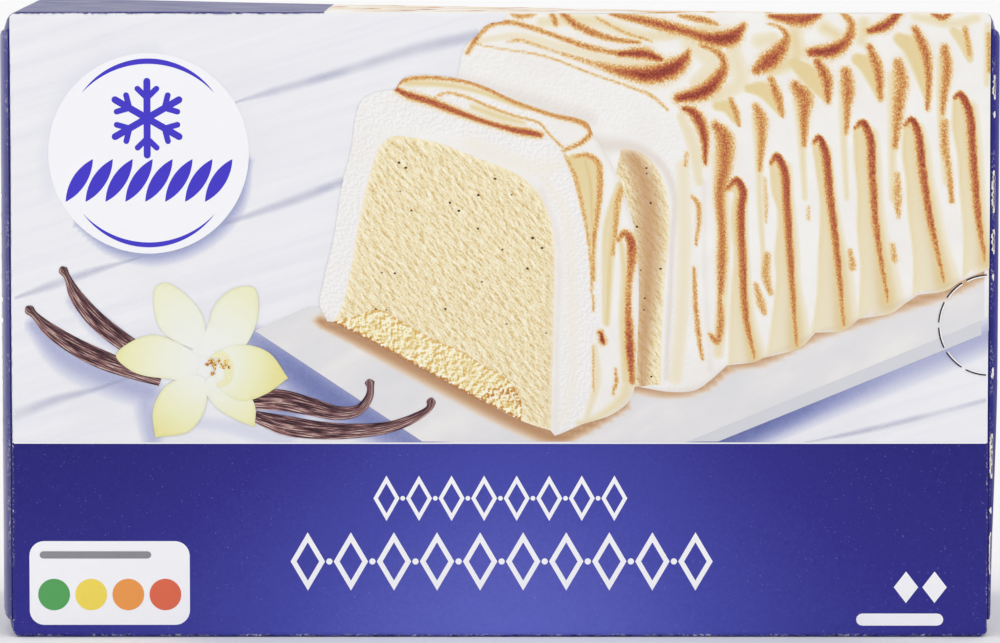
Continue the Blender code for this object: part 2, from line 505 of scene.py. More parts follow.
def newPiece(name, points, faces, material, masks):
    # each mask is a number at every point, for the material to read
    mesh = bpy.data.meshes.new(name)
    mesh.from_pydata((points * mm).tolist(), [], faces)
    mesh.materials.append(material)
    for label, values in masks.items():
        layer = mesh.attributes.new(label, "FLOAT", "POINT")
        layer.data.foreach_set("value", np.asarray(values, np.float32))
    mesh.shade_smooth()
    piece = bpy.data.objects.new(name, mesh)
    bpy.context.scene.collection.objects.link(piece)
    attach(piece, "root")
    return piece


def printShape(name, panel, spots, faces, material, slot="printed_board", above=0.0, **masks):
    # above lifts some of the points past the piece's own layer
    lift = (layers.get(name, 0) + above) * board["inkStep"]
    place = flapPoint if panel.endswith("Flap") else panelPoint
    return newPiece(name, place(panel, *spots.T, lift), faces, material, masks)


def joined(shapes):
    # several shapes as one; each is its spots, its faces and, if it has any, its masks
    spots, faces, masks = [], [], {}
    start = 0
    for part, sides, *given in shapes:
        spots.append(part)
        faces += [tuple(corner + start for corner in side) for side in sides]
        start += len(part)
        for label, values in (given[0] if given else {}).items():
            masks.setdefault(label, []).append(values)
    return np.vstack(spots), faces, {label: np.concatenate(values) for label, values in masks.items()}


def printShapes(name, panel, shapes, material, slot="printed_board", steps=0.0):
    # several shapes as one piece, each a little above the last where steps is given
    spots, faces, masks = joined(shapes)
    above = steps * np.repeat(np.arange(len(shapes)), [len(shape[0]) for shape in shapes])
    return printShape(name, panel, spots, faces, material, slot, above, **masks)


def printOutlines(name, panel, outlines, material):
    return printShapes(name, panel, [fillShape(outline, 3.0) for outline in outlines], material)


def flatInk(name, code, mottle=0.05, gloss=0.38):
    return newInk(name, lambda tree: ink(code), mottle, gloss)


print("tools ready")

# The folded carton's panels. The front is two printed fields: the picture, and the blue band below it.
front = {
    "bandTop": 48.0,
    "gridStep": 1.1,
    "creaseReach": 1.3,  # how far in from a crease the ink may be worn
    "creaseHem": 2.2,  # from a crease to where the even grid starts
    "wear": 0.35,
    "seamSpread": 1.9,  # how much wider than its line each seam is
    "shadows": [  # soft and blue, beside the plate and under the pods, petals and seal
        (0.86, [(-62, 75, 4, 0.6), (-54, 69, 8, 0.85), (-44, 61, 9, 1), (-32, 54, 8, 0.9),
                (-18, 46, 8, 0.8)]),
        (0.55, [(-66, 72, 5), (-60, 62, 7), (-52, 55, 8)]),
        (0.42, [(-114, 77, 3), (-107, 69.5, 5.5), (-97, 64.5, 6.5), (-86, 60.5, 6)]),
        (0.34, [(-104, 83, 3), (-97, 76, 4.5), (-90, 71, 4)]),
        (0.34, [(-88, 64, 3), (-86.4, 56, 4.5), (-85, 49, 4)]),
        (0.14, [(-74, 53, 3), (-66, 52, 4), (-52, 48, 4)]),
        (0.07, [(-110, 110, 5), (-110, 120, 6.5), (-105, 134, 6.5), (-97, 141, 6.5), (-84, 144.5, 5)]),
        (0.5, [(-103, 102, 1.5), (-95, 96.4, 3), (-84.5, 94.4, 4), (-73, 98.4, 4.4), (-65, 106.4, 4),
               (-61.6, 117, 2)]),
        (0.95, [(50, 46.2, 6.5, 1), (68, 54, 6.5, 0.95), (84, 60.6, 6.5, 0.66), (98, 66, 6.5, 0.46),
                (121, 75, 6, 0.44)]),
    ],
    "seams": [  # between the planks
        [(-66, 131, 0.1), (-56, 134, 0.8), (-40, 138.5, 1.0), (-21, 144.2, 1.3), (-5, 148, 1.2)],
        [(-68, 101.5, 0.4), (-52, 107, 1.0), (-38, 112.2, 0.9)],
        [(-118.5, 83.6, 0.3), (-110, 86.6, 0.9), (-100, 90, 0.8), (-87, 93.8, 0.1)],
        [(-119.5, 54.4, 1.3), (-109, 58.5, 1.0), (-98, 61.5, 0.5), (-91, 64, 0.3)],
        [(74, 48, 0.1), (90, 51.2, 0.6), (119, 58.5, 0.5)],
    ],
}


def creaseLines(low, high, step):
    # grid lines, closer together across the creases at the two ends
    turn = board["creaseRadius"] * np.array([0, 0.3, 0.55, 0.8, 1.0, 1.3])
    hem = front["creaseHem"]
    inner = np.linspace(low + hem, high - hem, max(2, round((high - low - 2 * hem) / step)))
    return np.concatenate([low + turn, inner, (high - turn)[::-1]])


def panelGrid(sLines, tLines):
    s, t = np.meshgrid(sLines, tLines)
    columns, rows = len(sLines), len(tLines)
    faces = []
    for j in range(rows - 1):
        for i in range(columns - 1):
            corner = j * columns + i
            faces.append((corner, corner + 1, corner + columns + 1, corner + columns))
    return np.stack([s.ravel(), t.ravel()], -1), faces


def creaseMask(spots, low, high):
    edge = np.minimum(spots - low, high - spots).min(1)
    return 1 - ease(edge / front["creaseReach"])


def plankInk(tree):
    along = placed(tree, (0.012, 1, 0.30), math.radians(17))
    streak = grainNoise(tree, along, 1.0, 4, 0.6)
    cloud = grainNoise(tree, placed(tree), 0.022, 2)
    pale = inkRamp(tree, streak, {0.30: "e6e6ec", 0.5: "ebebf0", 0.72: "f0f0f3"})
    pale = mixInk(tree, rise(tree, cloud, 0.45, 0.7), pale, ink("e6e6eb"))
    grain = grainNoise(tree, placed(tree), 1.4, 2)
    shadow = mask(tree, "shadow")
    dark = plus(tree, shadow, swing(tree, grain, times(tree, shadow, 0.25)))
    blue = inkRamp(tree, dark, {0.0: "e9e9ef", 0.25: "c8cadf", 0.5: "a0a5cb", 0.75: "8088b8",
                                1.0: "656ca7"})
    return mixInk(tree, rise(tree, shadow, 0.0, 0.12), pale, blue)


def seamInk(tree):
    patches = rise(tree, grainNoise(tree, placed(tree), 0.12, 3), 0.3, 0.7)
    return mixInk(tree, patches, ink("c6c6da"), ink("b2b4d2"))


def makeSeamMaterial():
    # strongest along its middle, fading out to both sides and in places along it
    material = newInk("seamInk", seamInk, 0.02)
    tree = material.node_tree
    away = maths(tree, "ABSOLUTE", mask(tree, "across"))
    uneven = rise(tree, grainNoise(tree, placed(tree), 0.06, 2), -0.1, 0.75)
    seen = times(tree, rise(tree, away, 1.0, 0.0), times(tree, uneven, 0.42))
    tree.links.new(seen, tree.nodes["Principled BSDF"].inputs["Alpha"])
    return material


def blueBandInk(tree):
    # deep blue, lighter and more violet in the middle of the panel
    grain = grainNoise(tree, placed(tree), 1.1, 3)
    glow = plus(tree, mask(tree, "glow"), swing(tree, grain, 0.16))
    fine = rise(tree, grainNoise(tree, placed(tree), 1.7, 2, 0.7), 0.66, 0.76)
    color = inkRamp(tree, glow, {0.0: "25226d", 0.3: "34318a", 0.65: "484ba8", 1.0: "6267c2"})
    return mixInk(tree, times(tree, fine, 0.5), color, ink("8c8cc8"))


plankMaterial = newInk("plankInk", plankInk, 0.03, wear=front["wear"])
bandMaterial = newInk("bandInk", blueBandInk, 0.06, wear=front["wear"] * 1.6, shine=0.08)
seamMaterial = makeSeamMaterial()
whiteMaterial = flatInk("sealWhiteInk", "f4f4f8", 0.02)

sLines = creaseLines(-width / 2, width / 2, front["gridStep"])
tLines = creaseLines(0, height, front["gridStep"])
frontLow, frontHigh = np.array([-width / 2, 0]), np.array([width / 2, height])


def bandGlow(spots):
    x, low = spots[:, 0], 1 - spots[:, 1] / front["bandTop"]
    middle = np.exp(-((x - 4) / 62) ** 2)
    return 0.08 + 0.5 * middle + low * (0.16 + 0.28 * np.exp(-((x + 10) / 95) ** 2))


def makeFront():
    top, gap = front["bandTop"], 0.3  # no grid line lies closer than the gap to the band's top
    spots, faces = panelGrid(sLines, np.concatenate([[top], tLines[tLines > top + gap]]))
    masks = {"shadow": painted(spots, front["shadows"]), "crease": creaseMask(spots, frontLow, frontHigh)}
    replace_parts(printShape("pictureField", "front", spots, faces, plankMaterial, **masks), "carton_body")
    spots, faces = panelGrid(sLines, np.concatenate([tLines[tLines < top - gap], [top]]))
    masks = {"glow": bandGlow(spots), "crease": creaseMask(spots, frontLow, frontHigh)}
    band = printShape("blueBand", "front", spots, faces, bandMaterial, "blue_board", **masks)
    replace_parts(band, "carton_body")
    edge = [(-width / 2 + 1, top, 0.17), (width / 2 - 1, top, 0.17)]
    printShapes("bandEdge", "front", [ribbon(edge, 1, 4)], whiteMaterial)
    lines = [[(x, z, half * front["seamSpread"]) for x, z, half in line] for line in front["seams"]]
    printShapes("plankSeams", "front", [ribbon(line, 6) for line in lines], seamMaterial)


makeFront()
print("front fields made")

# The printed slice: meringue round a cut face of ice cream on sponge
cutSlice = {
    "outline": [
        [(-42.2, 77.9), (-44, 82), (-42.8, 89), (-40.4, 99.3), (-38.5, 111.5), (-36.4, 119.4),
         (-34.2, 131), (-31, 133.6), (-25.4, 134.7)],
        [(-25.4, 134.7), (-23.6, 137.2), (-20, 138.1), (-14.8, 137.9), (-9.3, 137.1), (-3.8, 135.4),
         (3, 132.3), (12, 129.2), (21.2, 126.6), (22.4, 124.3)],
        [(22.4, 124.3), (27.9, 115.1), (30.4, 109), (32.2, 102.9), (33.4, 95.6), (33.9, 87), (33.7, 75),
         (33.1, 62.7), (31.6, 58.4), (27.3, 55), (20, 52.6), (15.1, 50.4)],
        [(13.4, 49.8), (12.4, 51.1)],
        [(12.4, 51.1), (6, 53.3), (-5, 58.8), (-18.4, 66.1), (-33.7, 74.4), (-40.9, 77.8), (-42.2, 77.9)],
    ],
    "cream": [
        [(-40.9, 77.8), (-38.8, 81), (-37, 87.7), (-34, 104.1), (-31.5, 114.5), (-29.1, 120.9),
         (-26, 123.2), (-21.5, 122.9), (-14.8, 121.5), (-6.2, 118.2), (4.8, 113.6), (8.9, 109.8),
         (11.4, 105.4), (12.9, 99.9), (13.3, 93.2), (13, 75), (12.4, 51.1)],
        [(12.4, 51.1), (6, 53.2), (-5, 58.7), (-18.4, 66), (-33.7, 74.3), (-40.9, 77.8)],
    ],
    "spongeTop": [(-40.9, 77.8), (-35.8, 79.1), (-30.6, 80.8), (-27.6, 80.3), (-24.5, 78.2),
                  (-14.8, 72.9), (-9.9, 70.9), (-5, 67.8), (0, 65.1), (3.5, 61.7), (5.4, 57.2),
                  (5.1, 53.6)],
    "crust": [(5.1, 53.6), (-5, 58.7), (-18.4, 66), (-33.7, 74.3), (-40.9, 77.8)],
    "creamShade": [(0.25, [(12.6, 52, 3), (12.8, 75, 2.5), (13, 95, 2)])],
    "browned": [(0.55, [(5.2, 58, 3), (3, 60, 4), (-2, 60, 3)])],
    "specks": 22,
    "hollows": [  # border, the line opposite and the depth of tone
        ([(15.9, 118.6), (18.5, 111.7), (19.9, 106), (21.4, 100.3), (22.5, 90)],
         [(20, 118.8), (23.6, 117), (24.5, 113.3), (23.9, 106), (23, 98.6), (22.5, 90)], 0.7),
        ([(28.6, 112), (26.4, 106), (25.1, 100.3), (24.9, 85.6), (25, 77)],
         [(29.8, 111), (28.3, 101.9), (27.5, 93.7), (27.1, 78.2)], 0.6),
    ],
    "rough": [
        (0.9, [(-42, 78, 5), (-38, 110, 7), (-33, 128, 8), (-20, 131, 9), (5, 124, 8), (16, 112, 7),
               (20, 90, 6), (19, 70, 6), (18, 52, 5)], 0.5),
    ],
    "toast": [
        (0.52, [(-25.4, 134.7, 0.7), (-24.5, 136.3, 0.9), (-20, 137.5, 0.8), (-9.3, 136.7, 0.8),
                (-3.8, 135, 0.9), (3, 131.8, 0.9), (12.1, 128.6, 0.9), (20.6, 126.2, 1.2),
                (22.1, 124.2, 1.0), (20, 121.8, 0.9), (15.4, 119.7, 0.5)]),
        (0.75, [(-25.2, 134.6, 0.8), (-22.7, 133.4, 1.3), (-17.2, 131.7, 1.4), (-11.1, 129.4, 1.3),
                (-6.2, 127.6, 1.0), (-1.3, 126, 0.9), (4.1, 124.6, 1.2)]),
        (0.78, [(2.6, 124.7, 0.8), (6.5, 124.2, 1.4), (9.9, 123.5, 0.9)]),
        (0.40, [(-16, 132.6, 0.4), (-13.5, 133.7, 0.7), (-9.9, 133.3, 0.7), (-2.6, 130.4, 0.7),
                (3.5, 128.2, 0.6), (9.6, 126.4, 0.6), (11.5, 124.3, 0.5), (15.1, 120.6, 0.5)]),
        (0.38, [(15.9, 118.6, 0.7), (18.3, 113.3, 1.1), (19.7, 107.8, 1.1), (21.4, 99.3, 0.8),
                (22.6, 86, 0.5)]),
        (0.46, [(17.8, 118.1, 0.6), (21.2, 118.6, 1.1), (23.8, 116.8, 1.4), (24.4, 111.5, 1.4),
                (23.7, 104.1, 1.2), (22.9, 97, 0.8), (22.7, 88, 0.5)]),
        (0.42, [(29.8, 110.6, 1.3), (28.8, 107.8, 1.5), (28.3, 102.5, 1.2), (27.5, 94, 0.7)]),
        (1.0, [(28.9, 97.8, 0.8, 0.5), (30.4, 99.6, 1.3, 0.65), (32, 97.4, 2, 0.75),
               (32.2, 93.8, 1.9, 0.65), (31.6, 88, 1.4, 0.5), (31.3, 82, 1.4, 0.55),
               (31.7, 72, 1.7, 0.78), (32.3, 63, 1.1, 0.6)]),
        (1.05, [(24.5, 75.3, 0.5), (25.2, 73, 0.8)]),
        (0.42, [(22.1, 85.8, 0.3), (22.9, 83.2, 0.6), (22.7, 80.3, 0.3)]),
        (0.48, [(28.2, 66.3, 0.6), (28.4, 63.3, 0.8), (27.6, 60, 0.5)]),
        (0.36, [(22.9, 71.8, 0.4), (22.9, 63.3, 0.6), (23.1, 60, 0.4)]),
    ],
    "creamTones": [
        (0.8, [(-22.7, 136.2, 1.6), (-14.8, 135.9, 1.4), (-6.2, 134.4, 1.2), (6, 130, 0.9)]),
        (0.75, [(-6.8, 130.4, 1.3), (-0.1, 128, 1.7), (6, 126.4, 0.8)]),
        (0.14, [(-8, 122, 4), (3.5, 117, 5), (10.9, 115.5, 5), (14.5, 116.3, 3)]),
        (0.14, [(10.6, 112.7, 2), (15.5, 105.4, 3.4), (17.5, 87.1, 3.6), (17.5, 62.7, 3.4),
                (15.5, 53, 2)]),
        (0.9, [(20.6, 117.6, 1.6), (22, 112, 2.2), (22.4, 105, 1.8), (22.7, 98, 1.2), (23, 88, 0.8)]),
        (0.85, [(29.4, 111.5, 1.2), (28, 104, 1.8), (27, 96, 1.8), (26.6, 88, 1.6), (26.1, 77.3, 1.2)]),
        (0.75, [(29.6, 97, 1.1), (30.4, 89.5, 1.7), (30.1, 77.9, 1.9), (30.6, 63.3, 1.6)]),
        (0.5, [(23.1, 71.8, 1.4), (23.7, 63.3, 1.9), (21.2, 54.1, 1.2)]),
        (0.6, [(31.4, 66, 2.0), (30.2, 59.6, 2.6), (24.3, 54.7, 1.6), (19, 52.8, 1)]),
    ],
    "shade": [
        (0.16, [(13.6, 50.5, 1.5), (13.9, 75, 1.2), (14, 98, 1.5), (10, 110, 1.5)]),
        (0.22, [(-44, 80, 1.5), (-41.5, 77.6, 1.8), (-38, 76, 1)]),
        (0.20, [(22.6, 123.6, 1.2), (28, 115, 1.6), (32, 103, 1.4), (33.8, 87, 1.2), (33.2, 63, 1.2),
                (28, 55, 1.6), (14, 49.6, 1.6)]),
    ],
}


def meringueInk(tree):
    names = ("toast", "cream", "shade", "rough")
    inputs = {label.capitalize(): mask(tree, label) for label in names}
    return useGroup(tree, toastGroup, inputs)["Color"]


def iceCreamInk(tree):
    # scooped grain: short diagonal crinkles, pale crests and straw hollows
    slanted = placed(tree, (0.46, 1, 1.1), math.radians(-50))
    crinkle = grainNoise(tree, slanted, 1.05, 4, 0.62)
    lumps = grainNoise(tree, placed(tree), 0.9, 3, 0.6)
    fine = grainNoise(tree, placed(tree), 2.5, 1)
    bumps = reliefNoise(tree, slanted, 0.85, (-0.05, 0, -0.34))
    tone = plus(tree, times(tree, crinkle, 0.4), times(tree, lumps, 0.2))
    tone = plus(tree, plus(tree, tone, swing(tree, fine, 0.3)), times(tree, bumps, 0.4))
    inks = {0.35: "d3b57b", 0.42: "e3cd9c", 0.48: "ebdcb2", 0.55: "f0e5c4", 0.65: "f8f2dc"}
    shaded = mixInk(tree, times(tree, mask(tree, "shade"), 0.85), inkRamp(tree, tone, inks),
                    ink("c08f60"))
    return mixInk(tree, mask(tree, "cream"), shaded, ink("fbf3d6"))


def spongeInk(tree):
    # open golden crumb fading into the ice cream, browning to a crust along its foot
    crumb = reliefNoise(tree, placed(tree), 0.95, (0.4, 0, -0.4))
    color = inkRamp(tree, crumb, {0.28: "dab76c", 0.42: "ead798", 0.52: "f2e7bc", 0.68: "faf5de"})
    patches = rise(tree, grainNoise(tree, placed(tree), 0.35, 4, 0.7), 0.48, 0.66)
    color = mixInk(tree, times(tree, patches, 0.4), color, ink("e0bd70"))
    rough = swing(tree, crumb, -1.2)
    for label, start, code in (("fade", 0.35, "dcb264"), ("crust", 0.3, "c0803e")):
        color = mixInk(tree, rise(tree, plus(tree, mask(tree, label), rough), start, 0.9), color,
                       ink(code))
    return color


meringueMaterial = newInk("meringueInk", meringueInk, 0.02, 0.42)
iceCreamMaterial = newInk("iceCreamInk", iceCreamInk, 0.02, 0.42)
spongeMaterial = newInk("spongeInk", spongeInk, 0.03, 0.42)
speckMaterial = flatInk("vanillaSpeckInk", "5a3324", 0.1)


def speckOutlines(count, outline, seed):
    # vanilla seeds, 0.22 to 0.42 across their half, none within 1.2 of the outline
    dice = random.Random(seed)
    low, high = outline.min(0), outline.max(0)
    made = []
    while len(made) < count:
        spot = np.array([[dice.uniform(low[0], high[0]), dice.uniform(low[1], high[1])]])
        size = dice.uniform(0.22, 0.42)
        if insideOutline(spot, outline)[0] and lineDistance(spot, outline)[0][0] > 1.2:
            made.append(ellipse(spot[0], (size, size * dice.uniform(0.6, 1)), 7, dice.uniform(0, 1)))
    return made


def makeSlice():
    spots, faces = fillShape(cornered(*cutSlice["outline"]), 0.5)
    masks = {"toast": painted(spots, cutSlice["toast"], 0.42, 0.8)}
    masks["cream"] = painted(spots, cutSlice["creamTones"])
    for border, line, fill in cutSlice["hollows"]:
        masks["cream"] = np.maximum(masks["cream"], hollow(spots, border, line, fill, 0.15))
    masks["shade"] = painted(spots, cutSlice["shade"])
    masks["rough"] = painted(spots, cutSlice["rough"])
    printShape("sliceMeringue", "front", spots, faces, meringueMaterial, **masks)
    face = cornered(*cutSlice["cream"])
    spots, faces = fillShape(face, 1.0)
    pale = 1 - ease(lineDistance(spots, np.vstack([face, face[:1]]))[0] / 1.3)
    masks = {"shade": painted(spots, cutSlice["creamShade"]), "cream": 0.55 * pale}
    printShape("sliceIceCream", "front", spots, faces, iceCreamMaterial, **masks)
    spots, faces = fillShape(cornered(cutSlice["spongeTop"], cutSlice["crust"]), 0.8)
    crust = 1 - ease(lineDistance(spots, smoothPath(cutSlice["crust"]))[0] / 1.2)
    fade = 1 - ease(lineDistance(spots, smoothPath(cutSlice["spongeTop"]))[0] / 1.8)
    masks = {"crust": np.maximum(crust, painted(spots, cutSlice["browned"])), "fade": 0.8 * fade}
    printShape("sliceSponge", "front", spots, faces, spongeMaterial, **masks)
    printOutlines("sliceSpecks", "front", speckOutlines(cutSlice["specks"], face, 4), speckMaterial)


makeSlice()
print("slice printed")

# The plate under the slice and the loaf
plate = {
    "top": [(-59.9, 75.6), (-47, 81.5), (40, 81.5), (119.95, 95), (119.95, 79), (46, 48.4), (-19, 48.4)],
    "rim": [(46, 48.4), (119.95, 79), (119.95, 75.5), (53.4, 48.4)],
    "contact": [  # warm shadows where the slice and the loaf stand
        (0.92, [(-44, 78, 2.4), (-36, 74.6, 3.4), (-18.4, 65.4, 4.2), (6, 52.6, 4.2), (14, 49.6, 3.6),
                (20, 51.6, 2.8), (30, 57.6, 2.8)]),
        (0.8, [(32, 62.4, 3.2), (42, 60.9, 3), (50, 62.4, 2.6), (56, 67, 2.6), (64, 68.8, 3),
               (77, 75, 3)]),
        (0.75, [(77, 75, 3), (88, 78.6, 3), (98, 82, 3), (109, 85.4, 3), (119.6, 90.6, 3)]),
    ],
}


def plateInk(tree):
    cloud = grainNoise(tree, placed(tree, (0.4, 1, 1), math.radians(30)), 0.11, 3)
    pale = inkRamp(tree, cloud, {0.35: "dddcdf", 0.55: "e3e1e2", 0.7: "eae8e6"})
    warm = inkRamp(tree, mask(tree, "contact"), {0.0: "e9e2da", 0.35: "ddc6ae", 0.7: "c79f7b",
                                                 1.0: "b08361"})
    return mixInk(tree, rise(tree, mask(tree, "contact"), 0.0, 0.4), pale, warm)


def makePlate():
    spots, faces = fillShape(np.array(plate["top"]), 1.5)
    contact = painted(spots, plate["contact"])
    printShape("plateTop", "front", spots, faces, newInk("plateInk", plateInk, 0.02), contact=contact)
    printOutlines("plateRim", "front", [np.array(plate["rim"])], flatInk("plateRimInk", "d3d3da", 0.05))


makePlate()

